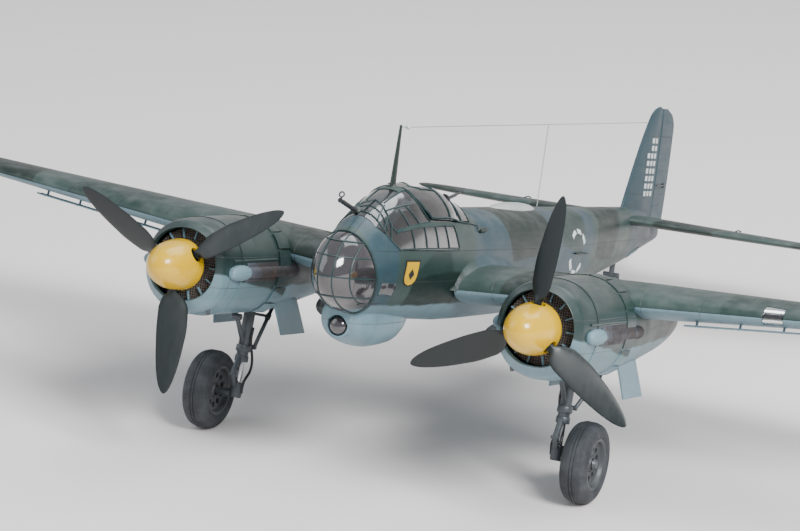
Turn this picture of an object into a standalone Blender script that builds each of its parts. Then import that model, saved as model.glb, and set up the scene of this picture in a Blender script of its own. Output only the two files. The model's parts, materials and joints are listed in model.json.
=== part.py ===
"""Twin-engined bomber with a glazed nose: a 1:48 plastic display model, standing tail-down on its three wheels.

The shapes are given in metres of the full-size aircraft, in the airframe's own level frame: the nose tip is at
Y = 0, +Y runs aft, +X is the port side and Z = 0 is the wing datum. FULL scales them to the model, and the
airframe empty tips the whole model back on to its tail wheel, over the middle of the ground under it.
"""

import math

import bmesh
import bpy
from mathutils import Matrix, Vector

# Driving dimensions, in metres of the full-size aircraft unless they say otherwise.
FULL = 1 / 48  # one full-size metre on the model
GROUND_ANGLE = math.radians(12)  # how far the model sits back on its tail wheel
MIDDLE_Y = 7.356  # centre of the model's length on the ground, which becomes the origin
SEAM = 0.005  # gap between glued pieces, 0.1 mm on the model
CLEAR = 0.018  # gap round a moving piece, 0.4 mm on the model
WALL = 0.040  # plastic wall, 0.8 mm on the model
CANOPY_REACH = math.radians(112)  # how far the canopy's skin goes round before its outline trims it
SIDES = {"port": 1, "starboard": -1}

# Fuselage sections, canopy included: Y at Z = 0, lean of the section plane, half-width, top, bottom, squareness.
HULL = (
    (0.93, 0.45, 0.430, 0.52, -0.60, 2.00),
    (1.27, 0.12, 0.465, 0.79, -0.63, 2.00),
    (1.50, 0.00, 0.495, 0.93, -0.65, 2.05),
    (1.85, 0.00, 0.535, 1.06, -0.67, 2.10),
    (2.15, 0.00, 0.560, 1.13, -0.69, 2.20),
    (2.75, 0.00, 0.590, 1.12, -0.73, 2.30),
    (3.40, 0.00, 0.605, 1.06, -0.76, 2.40),
    (3.90, 0.00, 0.615, 0.94, -0.78, 2.50),
    (4.38, 0.00, 0.620, 0.78, -0.78, 2.60),
    (4.70, 0.00, 0.620, 0.82, -0.78, 2.60),
    (6.50, 0.00, 0.610, 0.82, -0.77, 2.60),
    (8.00, 0.00, 0.560, 0.82, -0.66, 2.60),
    (9.50, 0.00, 0.460, 0.82, -0.47, 2.60),
    (11.00, 0.00, 0.340, 0.82, -0.27, 2.60),
    (12.10, 0.00, 0.250, 0.82, -0.12, 2.60),
    (13.20, 0.00, 0.160, 0.80, 0.08, 2.60),
    (13.58, 0.00, 0.130, 0.50, 0.16, 2.60),
    (14.15, 0.00, 0.080, 0.48, 0.26, 2.60),
    (14.30, 0.00, 0.035, 0.43, 0.31, 2.60),
)
NOSE_TIP_Y, NOSE_TIP_Z, NOSE_POWER = 0.15, -0.05, 1.9
# Side outlines as (Y, Z): the front canopy, the rear canopy with its blisters, and the opening for both.
CANOPY_OUTLINE = ((1.17, 1.4), (1.18, 0.80), (1.28, 0.55), (1.50, 0.33), (3.40, 0.33), (3.22, 0.72),
                  (2.36, 0.74), (2.12, 1.02), (2.12, 1.4))
BLISTER_OUTLINE = ((2.13, 1.4), (2.13, 1.03), (2.37, 0.755), (3.23, 0.735), (4.37, 0.68), (4.37, 1.4))
CANOPY_OPENING = ((1.16, 1.5), (1.17, 0.80), (1.27, 0.545), (1.493, 0.32), (3.412, 0.32), (3.235, 0.70),
                  (4.38, 0.66), (4.38, 1.5))
# Rear canopy sections: Y, and how far the two blisters swell out of the fuselage's outline.
BLISTERS = ((2.08, 0.00), (2.35, 0.04), (2.65, 0.065), (2.95, 0.07), (3.20, 0.05), (3.42, 0.01), (4.40, 0.00))
GONDOLA_X = -0.15  # the belly gondola sits to starboard of the centre line
# Gondola sections: Y, half-width, top (inside the fuselage), bottom.
GONDOLA = (
    (1.12, 0.20, -0.50, -0.76),
    (1.28, 0.30, -0.45, -0.95),
    (1.55, 0.37, -0.40, -1.06),
    (1.90, 0.39, -0.40, -1.115),
    (2.45, 0.38, -0.40, -1.09),
    (2.75, 0.34, -0.40, -1.00),
    (2.95, 0.28, -0.45, -0.90),
)
LENS_SPOT, LENS_RADIUS = (-0.14, 1.20, -0.80), 0.14

ENGINE_X, THRUST_Z = 2.65, -0.37
# Cowling and nacelle sections: Y, half-width, top, bottom. The cowling ends where the nacelle starts.
COWL = (
    (1.30, 0.530, 0.155, -0.905),
    (1.37, 0.600, 0.225, -1.000),
    (1.55, 0.635, 0.262, -1.070),
    (2.00, 0.660, 0.290, -1.095),
    (3.05, 0.665, 0.300, -1.100),
)
NACELLE = (
    (3.06, 0.665, 0.300, -1.100),
    (3.60, 0.650, 0.290, -1.110),
    (4.20, 0.605, 0.240, -1.060),
    (5.00, 0.510, 0.100, -0.970),
    (5.98, 0.385, -0.100, -0.850),
    (6.84, 0.230, -0.220, -0.670),
    (7.30, 0.055, -0.430, -0.520),
)
NACELLE_POWER = 2.2
COWL_MOUTH = 0.505  # inner radius of the cowling's lip
PROP_Y, PROP_RADIUS = 1.10, 1.80
BLADE_ANGLE = {"port": math.radians(84.7),
               "starboard": math.radians(152.5)}  # first blade, from +X towards +Z
BLADE_PITCH = math.radians(28)
# Blade sections: distance from the hub, half-width, half-thickness, extra twist in degrees, sideways offset.
BLADE = (
    (0.10, 0.060, 0.060, 0, 0.000),
    (0.37, 0.062, 0.058, 0, 0.000),
    (0.46, 0.150, 0.044, 8, 0.010),
    (0.62, 0.208, 0.036, 6, 0.025),
    (0.85, 0.212, 0.028, 3, 0.028),
    (1.15, 0.188, 0.020, 0, 0.020),
    (1.42, 0.152, 0.014, -3, 0.010),
    (1.64, 0.102, 0.010, -5, 0.002),
    (1.76, 0.052, 0.007, -6, 0.000),
    (1.80, 0.018, 0.004, -6, 0.000),
)
SHAFT_RADIUS = 0.050
SPINNER_RADIUS, SPINNER_BASE_Y, SPINNER_TIP_Y = 0.36, 1.25, 0.50
EXHAUST_Z, EXHAUST_OUT = -0.40, 0.655  # height, and distance of its centre from the engine's centre line

WING_LE_Y, WING_BEND_X, WING_SWEEP = 3.45, 3.3, 0.143
ROOT_X, WING_TIP_X = 0.6, 9.6
ROOT_Z, DIHEDRAL = -0.25, 0.075
UPPER_SHARE, LOWER_SHARE = 0.62, 0.38  # of the section's thickness, above and below its chord line
# Wing sections: X, share of the chord cut off the front and off the back, which rounds the tip.
WING_STATIONS = ((0.40, 0.0, 0.0), (3.30, 0.0, 0.0), (5.90, 0.0, 0.0), (9.60, 0.0, 0.0))
WING_TIP = ((9.85, 0.06, 0.10), (9.99, 0.20, 0.25), (10.04, 0.34, 0.42))
SKIN = (0.0, 0.012, 0.05, 0.13, 0.27, 0.45, 0.64, 0.82, 1.0)  # shares of the chord at the skin's points
HOLLOW = (0.05, 0.13, 0.27, 0.45, 0.62)  # the same inside, where the halves are hollow
AILERON_X, AILERON_HINGE = (5.90, 9.50), 0.75  # span, and the hinge's share of the chord
LIGHT_X = (5.00, 5.28)  # landing light, in the port leading edge
BRAKE_X = (3.90, 6.60)
RACK_X, BOMB_Z, BOMB_RADIUS = 1.30, -0.800, 0.20

LEG_X, WHEEL_X, AXLE_Y, AXLE_Z = 2.50, 2.92, 3.30, -2.29
WHEEL_APOTHEM, WHEEL_WIDTH, WHEEL_FACETS = 0.575, 0.40, 20
AXLE_RADIUS = 0.055
LEG_TOP_Y, LEG_TOP_Z, COLLAR_Z = 3.44, -0.80, -1.62
# Gear door levels: Z, share of its splay, front and back edges.
GEAR_DOOR = ((-0.86, 0.0, 3.45, 4.26), (-1.12, 0.55, 3.58, 4.40), (-1.38, 1.0, 3.72, 4.55))
TAIL_AXLE_Y, TAIL_AXLE_Z, TAIL_PIVOT_Y = 12.30, -0.68, 12.17
TAIL_WHEEL_WIDTH, TAIL_WHEEL_FACETS = 0.15, 14
POST_TOP_Z = -0.135  # the swivel post ends a little below the fuselage

HINGE_Y, RUDDER_Z = 13.66, (0.545, 2.53)
FIN = ((0.40, 11.98, 0.11), (0.85, 12.19, 0.10), (2.30, 13.00, 0.055), (2.48, 13.20, 0.04),
       (2.555, 13.44, 0.02))
RUDDER = ((0.545, 14.49, 0.065), (1.00, 14.50, 0.065), (2.20, 14.44, 0.050), (2.40, 14.30, 0.040),
          (2.53, 13.95, 0.025))
TAILPLANE_Z, ELEVATOR_HINGE_Y, ELEVATOR_X = 0.62, 13.06, (0.30, 3.72)
TAILPLANE = ((0.10, 11.98, 13.62, 0.085), (3.50, 12.50, 13.50, 0.050), (3.85, 12.68, 13.36, 0.035),
             (3.98, 12.88, 13.16, 0.015))
MAST_Y, MAST_Z = 2.06, (1.06, 1.98)
WIRE_RADIUS = 0.007


# Small tools that the sub-parts are made with.


def material(name, colour, roughness=0.6, metallic=0.0):
    """A plain Principled material, made once under its name."""
    made = bpy.data.materials.get(name) or bpy.data.materials.new(name)
    made.use_nodes = True
    shader = made.node_tree.nodes["Principled BSDF"]
    shader.inputs["Base Color"].default_value = (*colour, 1.0)
    shader.inputs["Roughness"].default_value = roughness
    shader.inputs["Metallic"].default_value = metallic
    return made


def clear_plastic():
    """The material of every glazed piece."""
    return material("clear_plastic", (0.55, 0.62, 0.66), 0.05)


def place(name, bm, paint=None, pivot=(0, 0, 0)):
    """Makes an object of the mesh, hung on the airframe, with its origin at pivot. Without paint it is a helper."""
    origin = Vector(pivot) * FULL
    bmesh.ops.translate(bm, verts=bm.verts, vec=-origin)
    bmesh.ops.recalc_face_normals(bm, faces=bm.faces)
    mesh = bpy.data.meshes.new(name)
    bm.to_mesh(mesh)
    bm.free()
    made = bpy.data.objects.new(name, mesh)
    bpy.context.scene.collection.objects.link(made)
    made.parent = bpy.data.objects["airframe"]
    made.location = origin
    if paint:
        mesh.materials.append(paint)
        mesh.shade_smooth()
        mesh.set_sharp_from_angle(angle=math.radians(35))
    else:
        made.hide_render = True
        made.display_type = "WIRE"
    return made


def combine(target, operation, *others):
    """Adds one exact Boolean to the target for each of the other objects."""
    for other in others:
        step = target.modifiers.new(f"{operation.lower()} {other.name}", "BOOLEAN")
        step.operation = operation
        step.solver = "EXACT"
        step.object = other
    return target


def loft(rings, shell=False):
    """A closed solid through rings with the same number of points. A shell's ring is its outer line and then its
    inner line backwards, and its ends are closed between the two."""
    bm = bmesh.new()
    loops = [[bm.verts.new(Vector(point) * FULL) for point in ring] for ring in rings]
    count = len(loops[0])
    for near, far in zip(loops, loops[1:]):
        for i in range(count):
            j = (i + 1) % count
            bm.faces.new((near[i], near[j], far[j], far[i]))
    for loop in (loops[0], loops[-1]):
        if not shell:
            bm.faces.new(loop)
            continue
        for i in range(count // 2 - 1):
            bm.faces.new((loop[i], loop[i + 1], loop[count - 2 - i], loop[count - 1 - i]))
    quads = [face for face in bm.faces if len(face.verts) == 4]
    bmesh.ops.triangulate(bm, faces=quads, quad_method="SHORT_EDGE")
    return bm


def prism(outline, low, high, axis="x"):
    """A flat outline of (Y, Z) points pushed along X from low to high, or of (X, Y) points along Z."""
    if axis == "x":
        rings = [[(at, y, z) for y, z in outline] for at in (low, high)]
    else:
        rings = [[(x, y, at) for x, y in outline] for at in (low, high)]
    return loft(rings)


def block(x, y, z):
    """A box from its three (low, high) pairs."""
    return prism([(y[0], z[0]), (y[1], z[0]), (y[1], z[1]), (y[0], z[1])], *x)


def rod(start, end, radius, sides=10, end_radius=None):
    """A round bar between two points, tapered if it has an end radius."""
    bm = bmesh.new()
    start, end = Vector(start) * FULL, Vector(end) * FULL
    turn = (end - start).to_track_quat("Z", "Y").to_matrix().to_4x4()
    bmesh.ops.create_cone(
        bm, cap_ends=True, segments=sides, radius1=radius * FULL, depth=(end - start).length,
        radius2=(end_radius or radius) * FULL, matrix=Matrix.Translation((start + end) / 2) @ turn)
    return bm


def turned(profile, centre, axis, sides, start=None):
    """A profile of (radius, distance along the axis) points spun about the axis through centre. A profile that ends
    on the axis makes a solid, and a closed one that keeps off it makes a ring."""
    bm = bmesh.new()
    axis, middle = Vector(axis).normalized(), Vector(centre) * FULL
    out = Vector(start).normalized() if start else axis.orthogonal().normalized()
    verts = [bm.verts.new(middle + (out * radius + axis * along) * FULL) for radius, along in profile]
    edges = [bm.edges.new(pair) for pair in zip(verts, verts[1:])]
    if profile[0][0] > 0:
        edges.append(bm.edges.new((verts[-1], verts[0])))
    bmesh.ops.spin(bm, geom=verts + edges, cent=middle, axis=axis, angle=math.tau, steps=sides,
                   use_merge=True)
    bmesh.ops.remove_doubles(bm, verts=bm.verts, dist=1e-7)
    return bm


def oval(half, top, bottom, power, first=0.0, last=math.tau, count=20, closed=True):
    """(x, z) points round a squarish oval, from its top over +X. An open stretch includes its last point."""
    middle, tall = (top + bottom) / 2, (top - bottom) / 2
    points = []
    for i in range(count):
        turn = first + (last - first) * i / (count if closed else count - 1)
        side, up = math.sin(turn), math.cos(turn)
        points.append((half * math.copysign(abs(side) ** (2 / power), side),
                       middle + tall * math.copysign(abs(up) ** (2 / power), up)))
    return points


# Fuselage, glazing and crew stations.


def hull_ring(station, grow=0.0, **stretch):
    """One fuselage section as 3-D points, grown outwards by a gap or inwards by a wall."""
    y, lean, half, top, bottom, power = station
    grow = max(grow, -0.45 * half)
    return [(x, y - lean * z, z) for x, z in oval(half + grow, top + grow, bottom - grow, power, **stretch)]


def hull_shell(stations, side, first, last, count, wall=WALL):
    """Part of the fuselage's skin, from one angle round the section to another."""
    rings = []
    for station in stations:
        stretch = dict(first=first, last=last, count=count, closed=False)
        outer = hull_ring(station, **stretch)
        inner = hull_ring(station, grow=-wall, **stretch)
        ring = outer + inner[::-1]
        rings.append([(side * x, y, z) for x, y, z in ring])
    return loft(rings, shell=True)


def build_hull_helpers():
    """The solid outline of the fuselage and canopy, which its neighbours are cut by, and the canopy opening."""
    keepout = place("keepout_hull", loft([hull_ring(station, grow=SEAM, count=28) for station in HULL]))
    opening = place("cut_canopy_opening", prism(CANOPY_OPENING, -1.0, 1.0))
    return keepout, opening


def build_fuselage(opening):
    """The two fuselage halves, joined on the centre line and open for the canopy."""
    paint = material("blue_grey_paint", (0.19, 0.31, 0.36))
    for name, side in SIDES.items():
        half = place(f"fuselage_{name}", hull_shell(HULL, side, 0.0, math.pi, 15), paint)
        seam = place(f"cut_seam_{name}", block(sorted((-side * 0.5, side * SEAM / 2)), (-1.0, 15.0), (-1.5, 1.5)))
        combine(half, "DIFFERENCE", seam, opening)


def nose_ring(share, shrink=0.0):
    """A ring of the nose dome, from the fuselage's front edge (share 0) towards the tip (share 1)."""
    y, lean, half, top, bottom, power = HULL[0]
    size = (1 - share ** NOSE_POWER) ** (1 / NOSE_POWER) * (1 - shrink / half)
    middle = (top + bottom) / 2 * (1 - share) + NOSE_TIP_Z * share
    tall = (top - bottom) / 2 * size
    points = oval(half * size, middle + tall, middle - tall, power, count=16)
    return [(x, (y - SEAM - lean * z) * (1 - share) + (NOSE_TIP_Y + shrink) * share, z) for x, z in points]


def build_nose_glazing():
    """The glazed dome ahead of the fuselage, hollow and open at the back. Returns the outline others are cut by."""
    shares = (0.0, 0.20, 0.42, 0.64, 0.82, 0.93, 0.985)
    dome = place("nose_glazing", loft([nose_ring(share) for share in shares]), clear_plastic())
    keepout = place("keepout_nose", loft([nose_ring(share, -SEAM) for share in shares]))
    inside = [nose_ring(share, WALL) for share in shares]
    inside[0] = [(x, y + 0.06, z) for x, y, z in inside[0]]
    combine(dome, "DIFFERENCE", place("cut_nose_inside", loft(inside)))
    return keepout


def blister_line(station, grow):
    """The rear canopy's outline, whose two swellings meet in a groove on the centre line."""
    y, swell = station
    ahead, behind = next(pair for pair in zip(HULL[3:], HULL[4:]) if pair[0][0] <= y <= pair[1][0] + 0.02)
    share = (y - ahead[0]) / (behind[0] - ahead[0])
    half, top, bottom, power = (a + (b - a) * share for a, b in zip(ahead[2:], behind[2:]))
    points = oval(half + grow, top + grow, bottom - grow, power, -CANOPY_REACH, CANOPY_REACH, 19,
                  closed=False)
    return [(x * (1 + swell), y, z + swell * (1 - 1.9 * math.exp(-(x / 0.10) ** 2)) * (z > 0.7)) for x,
            z in points]


def build_canopy():
    """The windscreen and side windows in one clear piece, and the rear piece with the gunners' two blisters.
    Returns the rear piece's outline as a solid, which the guns are cut by."""
    front = place("canopy_front", hull_shell(HULL[1:8], 1, -CANOPY_REACH, CANOPY_REACH, 17), clear_plastic())
    combine(front, "INTERSECT", place("keep_canopy", prism(CANOPY_OUTLINE, -1.0, 1.0)))
    rings = [blister_line(station, 0.0) + blister_line(station, -WALL)[::-1] for station in BLISTERS]
    rear = place("canopy_rear", loft(rings, shell=True), clear_plastic())
    combine(rear, "INTERSECT", place("keep_blisters", prism(BLISTER_OUTLINE, -1.0, 1.0)))
    return place("keepout_blisters", loft([blister_line(station, SEAM) for station in BLISTERS]))


def build_cockpit():
    """Floor, instrument panel, seats and rear bulkhead in one piece, inside the fuselage halves."""
    grey = material("cockpit_grey", (0.06, 0.07, 0.075))
    floor = place("cockpit_tub", block((-0.38, 0.38), (1.75, 4.20), (-0.06, 0.0)), grey)
    pieces = [
        block((-0.32, 0.08), (1.76, 1.82), (-0.03, 0.52)),
        block((-0.38, 0.38), (4.12, 4.18), (-0.03, 0.55)),
        block((0.02, 0.36), (2.50, 2.56), (-0.03, 0.75)),
        block((0.02, 0.36), (2.16, 2.53), (-0.03, 0.12)),
        block((-0.40, -0.10), (2.90, 2.96), (-0.03, 0.60)),
        block((-0.40, -0.10), (2.93, 3.25), (-0.03, 0.12)),
    ]
    helpers = [place(f"add_cockpit_{i}", bm) for i, bm in enumerate(pieces)]
    combine(floor, "UNION", *helpers)


def build_gondola(hull, nose):
    """The belly gondola's shell, its front lens and its rear gun."""
    paint = material("underside_blue", (0.24, 0.34, 0.42))
    rings = []
    for y, half, top, bottom in GONDOLA:
        rings.append([(x + GONDOLA_X, y, z) for x, z in oval(half, top, bottom, 2.4, count=14)])
    shell = place("gondola_shell", loft(rings), paint)
    hollow = [[(GONDOLA_X + 0.88 * (x - GONDOLA_X), y, z + 0.045) for x, y,
               z in ring] for ring in rings[1:-1]]
    lens_x, lens_y, lens_z = LENS_SPOT
    inside = place("cut_gondola_inside", loft(hollow))
    socket = place("cut_lens_socket", rod((lens_x, 0.8, lens_z), (lens_x, 1.5, lens_z), LENS_RADIUS + SEAM, 16))
    hatch = place("cut_gun_hatch", rod((GONDOLA_X, 2.6, -0.815), (GONDOLA_X, 3.2, -0.815), 0.05, 12))
    combine(shell, "DIFFERENCE", inside, hull, nose, socket, hatch)

    dome = [(0.0, -0.10), (0.06, -0.09), (0.11, -0.055), (LENS_RADIUS, 0.02), (LENS_RADIUS, 0.14),
            (0.0, 0.14)]
    lens = place("gondola_lens", turned(dome, LENS_SPOT, (0, 1, 0), 16), clear_plastic())
    combine(lens, "DIFFERENCE", hull, nose)
    place("gondola_gun", rod((GONDOLA_X, 2.60, -0.812), (GONDOLA_X, 3.45, -0.83), 0.022, 8, 0.016),
          material("gun_metal", (0.02, 0.022, 0.025), 0.4, 0.6))


def build_guns(hull, blisters):
    """The windscreen gun with its ring sight, and a gun in each rear blister."""
    metal = material("gun_metal", (0.02, 0.022, 0.025), 0.4, 0.6)
    breech, muzzle = Vector((-0.03, 1.40, 0.80)), Vector((-0.13, 0.62, 0.93))
    gun = place("nose_gun", rod(breech, muzzle, 0.024, 8), metal)
    mount = place("add_gun_mount", rod(breech, breech.lerp(muzzle, 0.30), 0.060, 10))
    spot = breech.lerp(muzzle, 0.94)
    sight = place("add_ring_sight", turned([(0.03, -0.008), (0.03, 0.008), (0.05, 0.008), (0.05, -0.008)],
                                           spot + Vector((0, 0, 0.075)), muzzle - breech, 10))
    post = place("add_sight_post", rod(spot, spot + Vector((0, 0, 0.04)), 0.010, 6))
    combine(gun, "UNION", mount, post, sight)
    combine(gun, "DIFFERENCE", hull)
    for name, side in SIDES.items():
        barrel = rod((side * 0.27, 3.30, 0.97), (side * 0.28, 3.95, 1.09), 0.020, 8, 0.015)
        combine(place(f"dorsal_gun_{name}", barrel, metal), "DIFFERENCE", blisters)


def build_spine(hull):
    """What stands on the fuselage's back: the aerial mast, its wire and the direction finder's clear cover."""
    rings = []
    for z, ahead, behind, half in ((MAST_Z[0], 0.10, 0.10, 0.030), (MAST_Z[1], 0.030, 0.030, 0.014)):
        outline = [(half * math.sin(turn),
                    MAST_Y + (behind if math.cos(turn) > 0 else ahead) * math.cos(turn), z)
                   for turn in (math.tau * i / 8 for i in range(8))]
        rings.append(outline)
    mast = place("aerial_mast", loft(rings), material("dark_green_black", (0.03, 0.04, 0.04)))
    combine(mast, "DIFFERENCE", hull)

    near, far = (0.0, MAST_Y + 0.05, MAST_Z[1] - 0.03), (0.0, 12.90, 2.27)
    wire = place("aerial_wire", rod(near, far, WIRE_RADIUS, 6),
                 material("aerial_thread", (0.5, 0.5, 0.5), 0.5))
    height = near[2] + (far[2] - near[2]) * (8.0 - near[1]) / (far[1] - near[1])
    lead = place("add_lead_in", rod((0.0, 8.0, height), (0.0, 8.0, 0.84), WIRE_RADIUS, 6))
    insulator = place("add_insulator", rod((0.0, 2.25, MAST_Z[1] - 0.024), (0.0, 2.33, MAST_Z[1] - 0.022), 0.018, 8))
    combine(wire, "UNION", lead, insulator)

    bm = bmesh.new()
    bmesh.ops.create_uvsphere(bm, u_segments=14, v_segments=8, radius=FULL)
    bmesh.ops.scale(bm, vec=(0.20, 0.85, 0.10), verts=bm.verts)
    bmesh.ops.translate(bm, vec=Vector((0.0, 6.9, 0.80)) * FULL, verts=bm.verts)
    cover = place("direction_finder_cover", bm, material("pale_cover", (0.5, 0.52, 0.5), 0.3))
    combine(cover, "DIFFERENCE", hull)


# Wings and what they carry.


def mirrored(rings, side):
    """Rings of a port piece, turned over to starboard where side is -1."""
    return [[(side * x, y, z) for x, y, z in ring] for ring in rings]


def bulge(share):
    """Height of the wing section's surface along its chord: 0 at both edges and 1 where it is thickest."""
    return 10 * (0.2969 * math.sqrt(share) - 0.1260 * share - 0.3516 * share ** 2 + 0.2843 * share ** 3
                 - 0.1036 * share ** 4)


def wing_point(station, share, surface=0, grow=0.0):
    """A point of the port wing at a share of the chord: on its top (surface 1), underneath (-1) or chord line (0)."""
    x, front, back = station
    along = min(x, WING_TIP_X) - WING_BEND_X
    lead = WING_LE_Y + WING_SWEEP * max(0.0, along)
    chord = 6.77 - (0.170 if along > 0 else 0.0926) * along - lead
    lead, chord = lead + front * chord, chord * (1 - front - back)
    thick = (0.165 - 0.006 * (x - ROOT_X)) * chord
    z = ROOT_Z + DIHEDRAL * (x - ROOT_X) - 0.02 * chord * share
    height = (0.0, UPPER_SHARE, -LOWER_SHARE)[surface] * thick * bulge(share)
    return Vector((x, lead - grow + (chord + 2 * grow) * share, z + height + surface * grow * (share > 0)))


def wing_outline(station, grow=0.0):
    """The whole section of a wing. A grown one has a blunt trailing edge, so that it covers both halves."""
    last = len(SKIN) if grow else -1
    return [wing_point(station, share, 1, grow) for share in SKIN] + [
        wing_point(station, share, -1, grow) for share in SKIN[1:last][::-1]]


def wing_half_outline(station, surface):
    """The section of one wing half: its skin, a solid strip along both edges and a hollow between them."""
    ring = [wing_point(station, share, surface) for share in SKIN] + [wing_point(station, 0.66)]
    for share in HOLLOW[::-1]:
        middle, skin = wing_point(station, share), wing_point(station, share, surface)
        height = abs(skin.z - middle.z)
        middle.z += surface * max(height - WALL, 0.35 * height)
        ring.append(middle)
    ring.append(wing_point(station, 0.04))
    return [point + Vector((0, 0, surface * SEAM / 2)) for point in ring]


def aileron_hinge():
    """The hinge line's two ends on the port wing, and the aileron's nose radius at each."""
    ends = []
    for x in AILERON_X:
        station = (x, 0.0, 0.0)
        top, below = (wing_point(station, AILERON_HINGE, surface) for surface in (1, -1))
        ends.append(((top + below) / 2, (top.z - below.z) / 2))
    return ends


def build_aileron(name, side):
    """An aileron with a round nose about its hinge line. Its origin is the hinge line's inner end."""
    rings = []
    for x, (hinge, nose) in zip(AILERON_X, aileron_hinge()):
        station = (x, 0.0, 0.0)
        ring = [wing_point(station, share, 1) for share in (0.75, 0.87, 1.0)]
        ring += [wing_point(station, share, -1) for share in (0.87, 0.75)]
        ring += [hinge + Vector((0, -nose * math.cos(turn), nose * math.sin(turn)))
                 for turn in map(math.radians, (-60, -25, 25, 60))]
        rings.append(ring)
    pivot = aileron_hinge()[0][0]
    place(f"aileron_{name}", loft(mirrored(rings, side)), material("grey_green_paint", (0.17, 0.22, 0.20)),
          pivot=(side * pivot.x, pivot.y, pivot.z))


def build_wing(name, side, hull):
    """One wing: its two halves and its aileron, and on the port side the landing light. Returns its keep-out."""
    stations = WING_STATIONS + WING_TIP
    whole = place(f"keep_wing_{name}", loft(mirrored([wing_outline(station) for station in stations], side)))
    keepout = place(f"keepout_wing_{name}",
                    loft(mirrored([wing_outline(station, SEAM) for station in stations], side)))
    (inner, inner_nose), (outer, outer_nose) = aileron_hinge()
    bay = [(inner.x - CLEAR, inner.y - inner_nose - CLEAR), (outer.x + CLEAR, outer.y - outer_nose - CLEAR),
           (outer.x + CLEAR, 7.5), (inner.x - CLEAR, 7.5)]
    cuts = [hull, place(f"cut_aileron_bay_{name}", prism([(side * x, y) for x, y in bay], -1.0, 1.5, axis="z"))]
    if name == "port":
        cuts.append(place("cut_light_notch", block(LIGHT_X, (3.3, 3.87), (-0.5, 0.6))))
        light = place("landing_light", block((LIGHT_X[0] + SEAM, LIGHT_X[1] - SEAM), (3.4, 3.86), (-0.45, 0.55)),
                      clear_plastic())
        combine(light, "INTERSECT", whole)
    paints = {"upper": material("grey_green_paint", (0.17, 0.22, 0.20)),
              "lower": material("underside_blue", (0.24, 0.34, 0.42))}
    for part, surface in (("upper", 1), ("lower", -1)):
        rings = mirrored([wing_half_outline(station, surface) for station in stations], side)
        combine(place(f"wing_{part}_{name}", loft(rings), paints[part]), "DIFFERENCE", *cuts)
    build_aileron(name, side)
    return keepout


def build_dive_brake(name, side, wing):
    """The slatted brake bar under the wing's leading edge, on four struts."""
    paint = material("underside_blue", (0.24, 0.34, 0.42))
    ends = []
    for x in BRAKE_X:
        spot = wing_point((x, 0.0, 0.0), 0.10, -1)
        ends.append([(side * x, spot.y + y, spot.z - 0.075 + z)
                     for y, z in ((-0.09, -0.015), (0.09, -0.015), (0.09, 0.015), (-0.09, 0.015))])
    bar = place(f"dive_brake_{name}", loft(ends), paint)
    struts = []
    for i in range(4):
        x = BRAKE_X[0] + (BRAKE_X[1] - BRAKE_X[0]) * (i + 0.5) / 4
        spot = wing_point((x, 0.0, 0.0), 0.10, -1)
        low, high = (side * x, spot.y, spot.z - 0.085), (side * x, spot.y + 0.05, spot.z + 0.05)
        struts.append(place(f"add_brake_strut_{name}_{i}", rod(low, high, 0.020, 8)))
    combine(bar, "UNION", *struts)
    combine(bar, "DIFFERENCE", wing)


def build_store(name, side, wing, hull):
    """A bomb rack under the inner wing with its four sway braces, and the bomb that it carries."""
    x = side * RACK_X
    grip = BOMB_Z + BOMB_RADIUS + SEAM
    outline = ((3.75, -0.10), (3.62, -0.45), (3.80, grip), (4.95, grip), (5.25, -0.10))
    rack = place(f"bomb_rack_{name}", prism(outline, x - 0.07, x + 0.07),
                 material("underside_blue", (0.24, 0.34, 0.42)))
    braces = []
    for i, (y, out) in enumerate((y, out) for y in (4.0, 4.7) for out in (-1, 1)):
        start, end = (x, y, grip + 0.09), (x + out * 0.17, y, BOMB_Z + 0.16)
        braces.append(place(f"add_sway_brace_{name}_{i}", rod(start, end, 0.018, 6)))
    bomb = [(0.0, 3.15), (0.09, 3.22), (0.16, 3.40), (BOMB_RADIUS, 3.68), (BOMB_RADIUS, 4.45), (0.13, 4.85),
            (0.05, 5.15), (0.0, 5.16)]
    keepout = place(f"keepout_bomb_{name}",
                    turned([(r + SEAM * (r > 0), y) for r, y in bomb], (x, 0, BOMB_Z), (0, 1, 0), 16))
    combine(rack, "UNION", *braces)
    combine(rack, "DIFFERENCE", wing, hull, keepout)
    body = place(f"bomb_{name}", turned(bomb, (x, 0, BOMB_Z), (0, 1, 0), 16),
                 material("bomb_black", (0.02, 0.02, 0.022)))
    fins = []
    for i in range(2):
        turn = math.radians(45 + 90 * i)
        fin = prism([(4.70, -0.20), (5.12, -0.20), (5.12, 0.20), (4.70, 0.20)], -0.008, 0.008)
        bmesh.ops.rotate(fin, verts=fin.verts, matrix=Matrix.Rotation(turn, 3, "Y"))
        bmesh.ops.translate(fin, verts=fin.verts, vec=Vector((x, 0, BOMB_Z)) * FULL)
        fins.append(place(f"add_bomb_fin_{name}_{i}", fin))
    combine(body, "UNION", *fins)


# Engines, propellers and exhausts.


def engine_ring(station, side, grow=0.0, count=20):
    y, half, top, bottom = station
    return [(side * ENGINE_X + x, y, z) for x,
            z in oval(half + grow, top + grow, bottom - grow, NACELLE_POWER, count=count)]


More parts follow.
